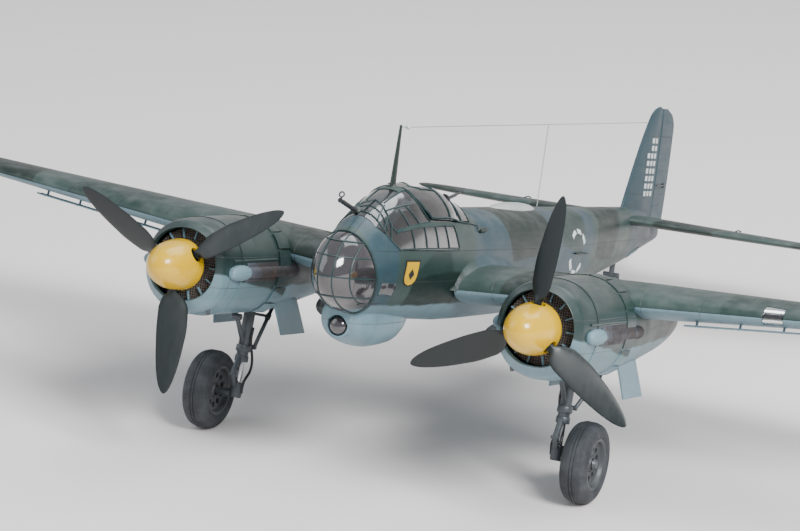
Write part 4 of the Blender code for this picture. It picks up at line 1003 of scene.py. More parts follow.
def build_nose():
    """The glazed nose dome, its frames, and the bomb aimer's sight and pads inside it."""
    def dome(u, v):
        outward = v <= 0.5
        share = 0.99995 * math.sin(math.pi / 2 * (v * 2 if outward else (1 - v) * 2))
        return nose_ring(share, math.tau * (u % 1), 0.0 if outward else GLASS_WALL)

    glass = wrapped("nose_glass", 64, 48, dome, close=False)
    edited(glass, bridge_open_edges, face_out)
    settle(glass, "shade_dark_glass", ["nose_glazing"], smooth=60)
    frames = []
    half, power = HULL[0][2], HULL[0][5]
    for x in (-0.30, -0.11, 0.10, 0.28):
        reach = (1 - abs(x / half) ** power) ** (1 / power) * 0.985
        low, high = -0.04 - 0.56 * reach, -0.04 + 0.56 * reach
        frames.append(ribbon(f"frame_x_{x}", ((x, 0, low), (x, 0, high)), on_nose, 0.020, 0.009, steps=36))
    for z in (0.40, 0.20, -0.07, -0.34):
        reach = (1 - abs((z + 0.04) / 0.56) ** power) ** (1 / power) * half * 0.985
        frames.append(ribbon(f"frame_z_{z}", ((-reach, 0, z), (reach, 0, z)), on_nose, 0.020, 0.010,
                             steps=36))

    def rim(u, v):
        turn, corner = math.tau * (v % 1), round(u * 4) % 4
        share = 0.0 if corner in (0, 3) else 0.075
        return nose_ring(share, turn, 0.006 if corner in (0, 1) else -0.012)

    frames.append(wrapped("nose_rim", 4, 72, rim, close=False))
    edited(frames[-1], merge_near, face_out)
    settle(joined("nose_frames", frames), "frame")

    sight = [bar("sight_post", (-0.10, 0.86, -0.46), (-0.10, 0.80, -0.16), 0.035),
             bar("sight_head", (-0.16, 0.79, -0.14), (-0.02, 0.79, -0.10), 0.05),
             bar("sight_tube", (-0.05, 0.84, -0.30), (-0.05, 0.66, -0.26), 0.028)]
    settle(joined("bomb_sight", sight), "gun")
    floor = plate("nose_floor", ((-0.30, 0.80, -0.44), (0.30, 0.80, -0.44), (0.36, 1.80, -0.40), (-0.36, 1.80, -0.40)), 0.03)
    bulkhead = plate("nose_ring_frame", [hull(1.24, math.tau * i / 24, -0.07) for i in range(24)], 0.02)
    hatch = plate("opening_cutter", [hull(1.24, math.tau * i / 24, -0.17) for i in range(24)], 0.2, rim=0)
    cut(bulkhead, hatch)
    pad = bar("knee_pad", (0.05, 0.95, -0.38), (0.05, 1.55, -0.36), 0.12, rim=0.5)
    settle(joined("nose_floor_frame", [floor, bulkhead]), "crew")
    settle(pad, "leather")


def canopy_skin(name, surface, low, high, outline, wall=GLASS_WALL):
    """Part of the canopy's clear skin between two Ys, trimmed to its side outline."""
    reach = math.radians(112)

    def place(u, v):
        outward = u <= 0.5
        share = u * 2 if outward else (1 - u) * 2
        return surface(low + (high - low) * v, -reach + 2 * reach * share, 0.0 if outward else -wall)

    skin = wrapped(name, 120, 56, place)
    return cut(skin, prism("canopy_trim", outline, -1.0, 1.0), operation="INTERSECT")


def both_sides(spots):
    """The same spots on each side of the centre line."""
    return [[(side * x, y, z) for x, y, z in spots] for side in (1, -1)]


def build_canopy():
    """The windscreen and side windows, the gunners' blisters behind, and the frames and painted panels on them."""
    glass = canopy_skin("canopy_front_glass", hull, 1.05, 3.60, CANOPY_OUTLINE)
    settle(glass, "clear", ["canopy_front"], smooth=50)
    rear = canopy_skin("canopy_rear_glass", swollen, 2.08, 4.40, BLISTER_OUTLINE)
    settle(rear, "clear", ["canopy_rear"], smooth=50)

    frames = []
    for number, spots in enumerate(
            both_sides(((0.0, 1.06, 0.64), (0.25, 1.07, 0.60), (0.40, 1.16, 0.54), (0.46, 1.28, 0.47),
                        (0.52, 1.50, 0.335)))
            + both_sides(((0.0, 1.53, 0.97), (0.25, 1.40, 0.90), (0.42, 1.33, 0.75), (0.47, 1.46, 0.62)))
            + both_sides(((0.0, 1.30, 0.82), (0.24, 1.24, 0.78), (0.40, 1.20, 0.64)))
            + both_sides(((0.45, 1.26, 0.50), (0.42, 1.36, 0.80)))
            + both_sides(((0.19, 1.07, 0.62), (0.17, 1.49, 0.95)))
            + both_sides(((0.33, 1.10, 0.58), (0.31, 1.39, 0.88)))
            + both_sides(((0.14, 1.53, 0.98), (0.16, 2.11, 1.10)))
            + both_sides(((0.0, 2.12, 1.12), (0.30, 2.12, 1.02), (0.45, 2.24, 0.86), (0.53, 2.37, 0.745)))
            + both_sides(((0.25, 1.42, 0.93), (0.36, 1.98, 0.97)))
            + both_sides(((0.49, 1.44, 0.68), (0.54, 2.32, 0.735)))
            + both_sides(((0.34, 1.66, 0.96), (0.50, 1.76, 0.70)))
            + both_sides(((0.35, 1.84, 0.96), (0.51, 2.02, 0.72)))
            + both_sides(((0.52, 1.47, 0.345), (0.60, 3.38, 0.345), (0.58, 3.19, 0.69), (0.50, 1.44, 0.64)))
            + both_sides(((0.0, 1.52, 0.97), (0.0, 1.06, 0.64)))):
        frames.append(ribbon(f"front_frame_{number}", spots, on_hull, 0.024, 0.011))
    for i in range(1, 5):
        share = i / 5
        for spots in both_sides(((0.56, 1.50 + 1.88 * share, 0.34), (0.54, 1.46 + 1.74 * share, 0.67))):
            frames.append(ribbon(f"side_frame_{i}", spots, on_hull, 0.024, 0.011))
    settle(joined("canopy_front_frames", frames), "frame")

    hoops = []
    for number, spots in enumerate(
            both_sides(((0.02, 2.15, 1.06), (0.30, 2.15, 1.02), (0.45, 2.27, 0.86), (0.53, 2.40, 0.76)))
            + both_sides(((0.53, 2.42, 0.765), (0.56, 3.20, 0.755), (0.56, 3.70, 0.73), (0.50, 4.34, 0.70)))
            + both_sides(((0.03, 2.16, 1.03), (0.03, 3.00, 1.02), (0.03, 3.60, 0.95), (0.03, 4.34, 0.78)))
            + both_sides(((0.02, 2.92, 1.02), (0.20, 2.86, 1.18), (0.40, 2.90, 0.98), (0.57, 2.98, 0.755)))
            + both_sides(((0.02, 3.42, 1.00), (0.22, 3.40, 1.06), (0.40, 3.42, 0.92), (0.57, 3.50, 0.74)))
            + both_sides(((0.03, 2.30, 1.05), (0.26, 2.50, 1.16), (0.30, 2.86, 1.14)))
            + both_sides(((0.02, 4.33, 0.80), (0.30, 4.34, 0.78), (0.50, 4.34, 0.70)))):
        hoops.append(ribbon(f"rear_frame_{number}", spots, on_blister, 0.026, 0.012))
    settle(joined("canopy_rear_frames", hoops), "frame")

    panels = []
    for number, x in enumerate((1, -1)):
        panels.append(patch(f"side_band_{number}",
                            [(x * 0.50, 1.46, 0.69), (x * 0.54, 2.36, 0.74), (x * 0.54, 2.36, 0.67),
                                                    (x * 0.50, 1.46, 0.63)], on_hull, 0.001, 0.008))
        panels.append(patch(f"side_band_aft_{number}", [(x * 0.54, 2.36, 0.74), (x * 0.56, 3.20, 0.735),
                                                        (x * 0.56, 3.20, 0.68), (x * 0.54, 2.36, 0.67)],
                            on_hull, 0.001, 0.008))
        panels.append(patch(f"roof_panel_{number}",
                            [(0.0, 1.94, 1.05), (0.0, 2.11, 1.10), (x * 0.16, 2.10, 1.09),
                                                     (x * 0.16, 1.94, 1.05)], on_hull, 0.001, 0.010,
                                                     along=16))
        panels.append(patch(f"rear_panel_{number}",
                            [(x * 0.02, 3.86, 0.92), (x * 0.02, 4.35, 0.80), (x * 0.50, 4.35, 0.71),
                                                     (x * 0.55, 3.86, 0.73)], on_blister, 0.001, 0.010,
                                                     across=16))
    settle(joined("canopy_panels", panels), "roof")


def build_crew_station():
    """What shows through the canopy: tub, seats with their cushions, instrument panel, wheel and radios."""
    repaint("cockpit_tub", "crew")
    shapes = [
        plate("seat_back", ((0.02, 2.52, 0.06), (0.36, 2.52, 0.06), (0.32, 2.60, 0.72), (0.06, 2.60, 0.72)),
              0.05, 0.02),
        plate("gunner_seat", ((-0.38, 2.92, 0.06), (-0.10, 2.92, 0.06), (-0.12, 2.98, 0.55), (-0.36, 2.98, 0.55)), 0.05,
              0.02),
        plate("headrest", ((0.11, 2.56, 0.70), (0.27, 2.56, 0.70), (0.25, 2.60, 0.84), (0.13, 2.60, 0.84)),
              0.06, 0.02)]
    settle(joined("seat_cushions", shapes), "leather")
    shapes = [
        plate("panel_face", ((-0.34, 1.74, 0.10), (0.34, 1.74, 0.10), (0.30, 1.70, 0.55), (-0.30, 1.70, 0.55)), 0.03),
        bar("column", (0.19, 2.02, 0.0), (0.19, 1.95, 0.36), 0.022),
        hose("wheel_rim", [(0.19 + 0.11 * math.cos(i * 0.6), 1.94, 0.40 + 0.09 * math.sin(i * 0.6)) for i in range(11)],
             0.014),
        plate("radio_set", ((-0.34, 3.94, 0.10), (0.34, 3.94, 0.10), (0.30, 3.92, 0.55), (-0.30, 3.92, 0.55)),
              0.16, 0.02),
        bar("drum_port", (0.20, 3.40, 0.35), (0.34, 3.40, 0.35), 0.12),
        bar("drum_starboard", (-0.34, 3.40, 0.35), (-0.20, 3.40, 0.35), 0.12)]
    for i in range(5):
        shapes.append(bar(f"dial_{i}", (-0.22 + 0.11 * i, 1.70, 0.40), (-0.22 + 0.11 * i, 1.775, 0.40),
                          0.042))
    settle(joined("crew_fittings", shapes), "crew")


def build_gondola():
    """The belly gondola, its front lens and ring, and its gun with the rear hatch frame."""
    def place(u, v):
        y = GONDOLA[0][0] + (GONDOLA[-1][0] - GONDOLA[0][0]) * v
        half, top, bottom = blended(GONDOLA, y)
        x, z = oval(half, top, bottom, 2.4, math.tau * (u % 1))
        return x + GONDOLA_X, y, z

    shell = wrapped("gondola_skin", 56, 60, place)
    socket = bar("socket_cutter", LENS_SPOT - Vector((0, 0.4, 0)), LENS_SPOT + Vector((0, 0.10, 0)),
                 LENS_RADIUS + 0.006,
                 rim=0, sides=40)
    cut(shell, socket)
    settle(shell, "belly", ["gondola_shell"], smooth=40)

    dome = [(0.0, -0.10)] + [(LENS_RADIUS * math.sin(a), 0.02 - 0.12 * math.cos(a)) for a in
                             (math.radians(15 * i) for i in range(1, 7))] + [(LENS_RADIUS, 0.09), (0.0, 0.09)]
    settle(lathe("gondola_lens_glass", dome, LENS_SPOT, (0, 1, 0), 40), "shade_dark_glass", ["gondola_lens"], smooth=50)
    ring = rounded_profile([(LENS_RADIUS + 0.002, 0.03), (LENS_RADIUS + 0.002, -0.045),
                            (LENS_RADIUS + 0.03, -0.04),
                            (LENS_RADIUS + 0.035, 0.06)], 0.012)
    settle(lathe("gondola_lens_ring", ring, LENS_SPOT, (0, 1, 0), 40), "belly")

    pieces = [bar("belly_gun_barrel", (GONDOLA_X, 2.80, -0.812), (GONDOLA_X, 3.45, -0.83), 0.016, 0.013),
              bar("belly_gun_jacket", (GONDOLA_X, 2.86, -0.813), (GONDOLA_X, 3.18, -0.822), 0.026),
              bar("belly_gun_muzzle", (GONDOLA_X, 3.40, -0.829), (GONDOLA_X, 3.46, -0.830), 0.022)]
    settle(joined("belly_gun", pieces), "gun", ["gondola_gun"])
    hatch = [bar("hatch_ring", (GONDOLA_X, 2.93, -0.812), (GONDOLA_X, 2.965, -0.813), 0.085, sides=28)]
    for out in (-1, 1):
        hatch.append(hose("hatch_frame", [(GONDOLA_X + out * 0.26, 2.90, -0.70), (GONDOLA_X + out * 0.20, 3.02, -0.72),
                                          (GONDOLA_X + out * 0.12, 3.10, -0.70)], 0.014))
    settle(joined("belly_hatch_frame", hatch), "belly")


def build_guns():
    """The windscreen gun with its jacket, mount and ring sight, and the two guns in the blisters."""
    breech, muzzle = Vector((-0.09, 1.32, 0.73)), Vector((-0.13, 0.62, 0.92))
    shapes = [bar("barrel", breech, muzzle, 0.020),
              bar("jacket", breech.lerp(muzzle, 0.28), breech.lerp(muzzle, 0.90), 0.029),
              bar("muzzle_cup", breech.lerp(muzzle, 0.96), breech.lerp(muzzle, 1.0), 0.034),
              bar("receiver", breech.lerp(muzzle, -0.25), breech.lerp(muzzle, 0.20), 0.045),
              bar("sight_post", breech.lerp(muzzle, 0.94), breech.lerp(muzzle, 0.94) + Vector((0, 0, 0.05)),
                  0.009)]
    sight = breech.lerp(muzzle, 0.94) + Vector((0, 0, 0.085))
    shapes.append(lathe("ring_sight", rounded_profile([(0.026, 0.0), (0.026, 0.014), (0.045, 0.014), (0.045, 0.0),
                                                       (0.026, 0.0)], 0.004), sight, muzzle - breech, 24,
                                                       close=False))
    for i in range(6):
        spot = breech.lerp(muzzle, 0.34 + 0.1 * i)
        shapes.append(lathe(f"jacket_band_{i}",
                            [(0.028, -0.006), (0.034, -0.004), (0.034, 0.004), (0.028, 0.006)],
                            spot, muzzle - breech, 20))
    settle(joined("windscreen_gun", shapes), "gun", ["nose_gun"])
    ball = [(0.0, -0.075)] + [(0.075 * math.sin(a), -0.075 * math.cos(a)) for a in
                              (math.radians(20 * i) for i in range(1, 9))] + [(0.0, 0.075)]
    settle(lathe("gun_mount_ball", ball, breech.lerp(muzzle, 0.17), muzzle - breech, 28), "dark green",
           smooth=60)
    for name, side in SIDES.items():
        start, end = Vector((side * 0.27, 3.30, 0.97)), Vector((side * 0.28, 3.95, 1.09))
        shapes = [bar("barrel", start.lerp(end, 0.05), end, 0.016, 0.014),
                  bar("jacket", start.lerp(end, 0.1), start.lerp(end, 0.72), 0.024),
                  bar("receiver", start.lerp(end, -0.45), start.lerp(end, 0.05), 0.038),
                  lathe("mount_ring", rounded_profile([(0.03, 0.0), (0.03, 0.03), (0.085, 0.03), (0.085, 0.0),
                                                       (0.03, 0.0)], 0.006), start.lerp(end, 0.10),
                                                       end - start, 24, close=False)]
        settle(joined(f"blister_gun_{name}", shapes), "gun", [f"dorsal_gun_{name}"])


def build_spine():
    """The aerial mast with its foot and insulator, the wire, and the direction finder's moulded cover."""
    def mast(u, v):
        low, high = MAST_Z
        turn = math.tau * (u % 1)
        chord, half = 0.095 * (1 - v) + 0.032 * v, 0.030 * (1 - v) + 0.015 * v
        return half * math.sin(turn), MAST_Y + chord * math.cos(turn), low + (high - low) * v

    foot = lathe("mast_foot", [(0.10, -0.03), (0.09, 0.01), (0.05, 0.035), (0.03, 0.06)], (0, MAST_Y, 1.11),
                 (0, 0, 1), 24)
    settle(joined("aerial_mast_finished", [wrapped("mast", 24, 20, mast), foot]), "dark green",
           ["aerial_mast"], smooth=50)
    repaint("aerial_wire", "thread")
    bead = lathe("bead", [(0.0, -0.05), (0.022, -0.04), (0.030, 0.0), (0.022, 0.04), (0.0, 0.05)],
                 (0, 2.32, 1.952),
                 (0, 1, -0.02), 20)
    settle(bead, "white")

    def cover(u, v):
        turn, rise = math.tau * (u % 1), math.pi / 2 * v
        return (0.20 * math.cos(rise) ** 0.8 * math.sin(turn),
                6.9 + 0.85 * math.cos(rise) ** 0.8 * math.cos(turn),
                0.79 + 0.11 * math.sin(rise))

    settle(wrapped("loop_cover", 48, 16, cover), "cover", ["direction_finder_cover"], smooth=60)


# Wings, their controls, lights, brakes and stores.


def on_wing(side, surface):
    """A surface for ribbon and patch: the place above a rough spot on one side of one wing."""
    def place(spot, grow=0.0):
        x, y, _ = spot
        x = abs(x)
        lead, trail = wing(x, 0.0).y, wing(x, 1.0).y
        share = min(max((y - lead) / (trail - lead), 0.0), 1.0)
        spot = wing(x, share, surface, grow)
        return Vector((side * spot.x, spot.y, spot.z))
    return place


def build_wing(name, side):
    """One wing's upper and lower skins, cut for the aileron and the landing light."""
    ends = [(x, (wing(x, AILERON_HINGE, 1) + wing(x, AILERON_HINGE, -1)) / 2,
             (wing(x, AILERON_HINGE, 1).z - wing(x, AILERON_HINGE, -1).z) / 2) for x in AILERON_X]
    front = [hinge.y - nose - CLEAR for _, hinge, nose in ends]
    bay = [(AILERON_X[0] - CLEAR, front[0]), (AILERON_X[1] + CLEAR, front[1]), (AILERON_X[1] + CLEAR, 7.5),
           (AILERON_X[0] - CLEAR, 7.5)]
    for part, surface, paint in (("upper", 1, "wing top"), ("lower", -1, "wing under")):
        def place(u, v):
            share = (1 - math.cos(math.pi * min(2 * u, 2 - 2 * u))) / 2
            x = 0.58 + 9.46 * (1 - (1 - v) ** 1.4)
            spot = wing(x, share, surface if u <= 0.5 else 0)
            return side * spot.x, spot.y, spot.z + surface * 0.003

        skin = wrapped(f"wing_{part}_skin_{name}", 88, 130, place)
        cut(skin, prism("aileron_cutter", [(side * x, y) for x, y in bay], -1.0, 1.5, axis="z"))
        if name == "port":
            notch = [(LIGHT_X[0], 3.2), (LIGHT_X[1], 3.2), (LIGHT_X[1], 3.87), (LIGHT_X[0], 3.87)]
            cut(skin, prism("light_cutter", notch, -1.0, 1.5, axis="z"))
        settle(skin, paint, [f"wing_{part}_{name}"])

    def aileron(u, v):
        x = AILERON_X[0] + (AILERON_X[1] - AILERON_X[0]) * v
        hinge = (wing(x, AILERON_HINGE, 1) + wing(x, AILERON_HINGE, -1)) / 2
        nose = (wing(x, AILERON_HINGE, 1).z - wing(x, AILERON_HINGE, -1).z) / 2
        if u < 0.2:
            turn = math.radians(-90 + 180 * u / 0.2)
            spot = hinge + Vector((0, -nose * math.cos(turn), nose * math.sin(turn)))
        elif u < 0.6:
            spot = wing(x, 0.75 + 0.25 * (u - 0.2) / 0.4, 1)
        else:
            spot = wing(x, 1.0 - 0.25 * (u - 0.6) / 0.4, -1)
        return side * spot.x, spot.y, spot.z

    settle(wrapped(f"aileron_skin_{name}", 50, 60, aileron), "wing top", [f"aileron_{name}"],
           body=f"aileron_{name}_body")
    above, under = on_wing(side, 1), on_wing(side, -1)
    tip = wing(9.7, 0.10)
    lamp = bar(f"tip_lamp_{name}", (side * 9.66, tip.y - 0.03, tip.z), (side * 9.66, tip.y + 0.10, tip.z),
               0.032, 0.020)
    settle(lamp, "red" if side == 1 else "green")
    fittings = [ribbon(f"fitting_{i}", spots, surface, 0.05, 0.020) for i, (spots, surface) in enumerate((
        (((side * 6.9, 5.4, 0), (side * 6.9, 5.9, 0)), under),
        (((side * 8.5, 5.4, 0), (side * 8.5, 5.8, 0)), under),
        (((side * 4.4, 5.6, 0), (side * 4.4, 6.2, 0)), above)))]
    settle(joined(f"wing_fittings_{name}", fittings), "pale")
    outline = []
    for share, x in ((0.30, 1.55), (0.30, 1.95), (0.62, 1.95), (0.62, 1.55)):
        spot = wing(x, share)
        outline.append((side * x, spot.y, 0))
    walkway = patch(f"wing_walkway_{name}", outline, above, 0.001, 0.008, 8, 14)
    settle(walkway, "wing top")


def build_landing_light():
    """The clear cover in the port wing's leading edge, with its reflector lamp behind."""
    def cover(u, v):
        x = LIGHT_X[0] + 0.005 + (LIGHT_X[1] - LIGHT_X[0] - 0.01) * v
        outward = u <= 0.5
        along = u * 4 - 1 if outward else 3 - u * 4
        chord = wing(x, 1.0).y - wing(x, 0.0).y
        reach = (3.855 - wing(x, 0.0).y) / chord
        spot = wing(x, reach * along ** 2, 1 if along > 0 else -1)
        centre = Vector((x, 3.86, wing(x, reach).z))
        return spot if outward else centre.lerp(spot, 0.86)

    settle(wrapped("landing_light_cover", 64, 12, cover), "clear", ["landing_light"], smooth=50)
    spot = wing(5.14, 0.09) + Vector((0, 0.0, 0.012))
    lamp = lathe("lamp", [(0.0, 0.10), (0.03, 0.08), (0.075, 0.0), (0.082, 0.0), (0.082, 0.11), (0.0, 0.13)],
                 spot,
                 (0, 1, 0), 32)
    settle(lamp, "lamp")


def build_dive_brake(name, side):
    """A slatted brake under the wing: two long slats, the ties across them and their struts."""
    shapes = []
    for shift, drop in ((-0.055, 0.0), (0.055, 0.008)):
        def slat(u, v):
            x = BRAKE_X[0] + (BRAKE_X[1] - BRAKE_X[0]) * v
            spot = wing(x, 0.10, -1)
            turn = math.tau * (u % 1)
            return side * x, spot.y + shift + 0.034 * math.cos(turn), spot.z - 0.075 - drop + 0.014 * math.sin(turn)
        shapes.append(wrapped(f"slat_{shift}", 16, 40, slat))
    for i in range(9):
        x = BRAKE_X[0] + (BRAKE_X[1] - BRAKE_X[0]) * (i + 0.5) / 9
        spot = wing(x, 0.10, -1)
        shapes.append(bar(f"tie_{i}", (side * x, spot.y - 0.085, spot.z - 0.078),
                          (side * x, spot.y + 0.088, spot.z - 0.082),
                          0.014, sides=12))
        if i % 2 == 0:
            shapes.append(bar(f"strut_{i}", (side * x, spot.y, spot.z - 0.085),
                              (side * x, spot.y + 0.04, spot.z + 0.03),
                              0.018, sides=12))
    settle(joined(f"dive_brake_slats_{name}", shapes), "pale", [f"dive_brake_{name}"])


def build_store(name, side):
    """A streamlined bomb rack with its sway braces, and its bomb with four fins and a ring."""
    x = side * RACK_X
    outline = ((3.66, -0.14), (3.66, -0.42), (3.84, BOMB_Z + BOMB_RADIUS + 0.02),
               (4.92, BOMB_Z + BOMB_RADIUS + 0.02),
               (5.20, -0.16))
    rack = prism(f"rack_{name}", outline, x - 0.065, x + 0.065)
    softened(rack, 0.035, segments=3)
    shapes = [rack]
    for i, (y, out) in enumerate((y, out) for y in (4.0, 4.7) for out in (-1, 1)):
        shapes.append(bar(f"brace_{i}", (x, y, BOMB_Z + BOMB_RADIUS + 0.09),
                          (x + out * 0.17, y, BOMB_Z + 0.16), 0.018,
                          sides=12))
        shapes.append(bar(f"pad_{i}", (x + out * 0.150, y, BOMB_Z + 0.160),
                          (x + out * 0.135, y, BOMB_Z + 0.135), 0.035,
                          sides=16))
    settle(joined(f"bomb_rack_finished_{name}", shapes), "pale", [f"bomb_rack_{name}"])
    profile = rounded_profile([(0.0, 3.15), (0.10, 3.22), (0.165, 3.40), (BOMB_RADIUS, 3.68),
                               (BOMB_RADIUS, 4.45),
                               (0.13, 4.85), (0.05, 5.15), (0.0, 5.16)], 0.3, 6)
    shapes = [lathe("body", profile, (x, 0, BOMB_Z), (0, 1, 0), 48)]
    for i in range(4):
        way = Matrix.Rotation(math.radians(45 + 90 * i), 3, "Y") @ Vector((1, 0, 0))
        spots = [Vector((x, y, BOMB_Z)) + way * out for y,
                 out in ((4.62, 0.12), (4.78, 0.205), (5.13, 0.205), (5.13, 0.03))]
        shapes.append(plate(f"fin_{i}", spots, 0.012, 0.003))
    for y in (3.74, 4.44):
        shapes.append(lathe(f"band_{y}", [(0.198, y - 0.02), (0.2035, y - 0.015), (0.2035, y + 0.015), (0.198, y + 0.02)],
                            (x, 0, BOMB_Z), (0, 1, 0), 48))
    shapes.append(bar("fuse", (x, 3.20, BOMB_Z), (x, 3.155, BOMB_Z), 0.035, 0.02))
    settle(joined(f"bomb_finished_{name}", shapes), "bomb", [f"bomb_{name}"])


# Engines and propellers.


def build_engine(name, side):
    """One engine: rolled cowl lip, nacelle with its wheel bay, gill flaps, radiator and exhausts, each exhaust on a
    dark strip of painted shade.
    """
    x = side * ENGINE.x
    z = ENGINE.z

    def cowl(u, v):
        turn = math.tau * (u % 1)
        if v < 0.5:
            y = COWL[0][0] + (COWL[-1][0] - COWL[0][0]) * (1 - v * 2) ** 1.5
            ring = engine_ring(max(y, 1.30), turn, side)
            if y < 1.40:
                ring = engine_ring(1.40, turn, side).lerp(engine_ring(1.30, turn, side), (1.40 - y) / 0.10)
            return ring
        mouth = Vector((x + COWL_MOUTH * math.sin(turn), 1.33, z + COWL_MOUTH * math.cos(turn)))
        front, share = engine_ring(1.30, turn, side), (v - 0.5) / 0.14
        if share <= 1:
            spot = front.lerp(mouth, share)
            spot.y = 1.30 - 0.028 * math.sin(math.pi * min(share, 1.0)) + 0.03 * share
            return spot
        y = 1.33 + (3.04 - 1.33) * ((v - 0.64) / 0.36)
        spot = mouth.lerp(engine_ring(max(y, 1.55), turn, side, -WALL), min((y - 1.33) / 0.30, 1.0))
        return spot.x, y, spot.z

    shell = wrapped(f"cowl_skin_{name}", 72, 100, cowl, close=False)
    edited(shell, bridge_open_edges, face_out)
    settle(shell, "cowl", [f"cowl_{name}"], smooth=40)
    band = sheet(f"cowl_band_{name}", 72, 2,
                 lambda u, v: engine_ring(1.86 + 0.05 * v, math.tau * (u % 1), side, 0.009), 0.012)
    settle(band, "cowl")

    body = wrapped(f"nacelle_skin_{name}", 72, 90, lambda u, v: engine_ring(
        NACELLE[0][0] + (NACELLE[-1][0] - NACELLE[0][0]) * v, math.tau * (u % 1), side))
    (low, high), half = WHEEL_BAY
    cut(body, prism("bay_cutter", [(x - half, low), (x + half, low), (x + half, high), (x - half, high)], -1.6, -0.66,
                    axis="z"))
    settle(body, "nacelle", [f"nacelle_{name}"])
    flaps = []
    for i in range(14):
        turn = math.radians(-152 + 304 * (i + 0.5) / 14)
        def flap(u, v, turn=turn):
            return engine_ring(3.07 + 0.36 * v, turn + math.radians(9.6) * (2 * u - 1), side,
                               0.010 + 0.014 * v)

        flaps.append(sheet(f"flap_{i}", 6, 4, flap, 0.012))
    settle(joined(f"gill_flaps_{name}", flaps), "cowl")
    bay = [bar(f"bay_tube_{i}", (x - 0.34, y, -0.74), (x + 0.34, y, -0.74), 0.022, sides=12) for i, y in
           enumerate((3.55, 4.0, 4.45))]
    settle(joined(f"wheel_bay_tubes_{name}", bay), "gear")

    core = lathe(f"radiator_core_{name}",
                 [(0.16, 1.44), (0.495, 1.44), (0.495, 1.60), (0.16, 1.60), (0.16, 1.44)],
                 (x, 0, z), (0, 1, 0), 64, close=False)
    settle(core, "core", [f"radiator_{name}"])
    spokes = []
    for i in range(14):
        way = Matrix.Rotation(math.tau * i / 14, 3, "Y") @ Vector((1, 0, 0))
        middle = Vector((x, 1.415, z))
        spokes.append(plate(f"spoke_{i}",
                            [middle + way * 0.37 + Vector((0, -0.012, 0)),
                             middle + way * 0.50 + Vector((0, -0.012, 0)),
                                           middle + way * 0.50 + Vector((0, 0.05, 0)),
                                           middle + way * 0.37 + Vector((0, 0.05, 0))], 0.020))
    spokes.append(lathe("inner_ring", rounded_profile([(0.17, 1.40), (0.215, 1.40), (0.215, 1.46), (0.17, 1.46), (0.17, 1.40)],
                                                      0.01), (x, 0, z), (0, 1, 0), 48, close=False))
    settle(joined(f"radiator_spokes_{name}", spokes), "pale")

    for out, where in ((side, "outer"), (-side, "inner")):
        pipe = rounded_profile([(0.0, 2.00), (0.084, 2.02), (0.084, 3.48), (0.095, 3.56), (0.090, 3.66),
                                (0.0, 3.74)],
                               0.05, 4)
        start = Vector((x + out * EXHAUST_OUT, 0, EXHAUST_Z))
        shapes = [lathe("pipe", pipe, start, (0, 1, 0), 28)]
        for y in (2.30, 2.62, 2.94, 3.26):
            shapes.append(lathe(f"ring_{y}",
                                [(0.083, y - 0.020), (0.088, y - 0.010), (0.088, y + 0.010),
                                 (0.083, y + 0.020)],
                                start, (0, 1, 0), 24))
        # Painted shade: a dark strip raised on the cowl round the pipe, in the exhaust metal's colour, stands in for
        # the shade of a recessed exhaust slot.
        shapes.append(ribbon("recess", [(start.x, 2.02, EXHAUST_Z), (start.x, 3.04, EXHAUST_Z)],
                             lambda spot, grow=0.0: engine_spot(spot, side, grow), 0.27, 0.008))
        bulb = rounded_profile([(0.0, 1.50), (0.070, 1.53), (0.112, 1.70), (0.112, 1.93), (0.080, 2.06),
                                (0.0, 2.08)],
                               0.06, 4)
        settle(lathe(f"exhaust_fairing_{name}_{where}", bulb, start, (0, 1, 0), 32), "pale",
               smooth=60)
        settle(joined(f"exhaust_pipe_{name}_{where}", shapes), "exhaust", [f"exhaust_{name}_{where}"],
               smooth=50)
        spots = [(start.x - out * 0.01, 1.62, EXHAUST_Z + 0.17),
                 (start.x - out * 0.01, 3.0, EXHAUST_Z + 0.17)]
        trough = hose(f"trough_{name}_{where}", [engine_spot(spot, side, 0.002) for spot in spots], 0.020)
        settle(trough, "cowl")
    root = engine_spot((x - side * 0.40, 1.55, -1.0), side, -0.02)
    stub = bar(f"drain_stub_{name}", root, root + Vector((0, 0.03, -0.07)), 0.035, 0.03)
    settle(stub, "gear")


def engine_spot(spot, side, grow):
    """The place on the cowling nearest above a rough spot."""
    x, y, z = spot
    half, top, bottom = blended(COWL[:-1] + NACELLE, y)
    turn = math.atan2((x - side * ENGINE.x) / half, (z - (top + bottom) / 2) * 2 / (top - bottom))
    return engine_ring(y, turn, side, grow)


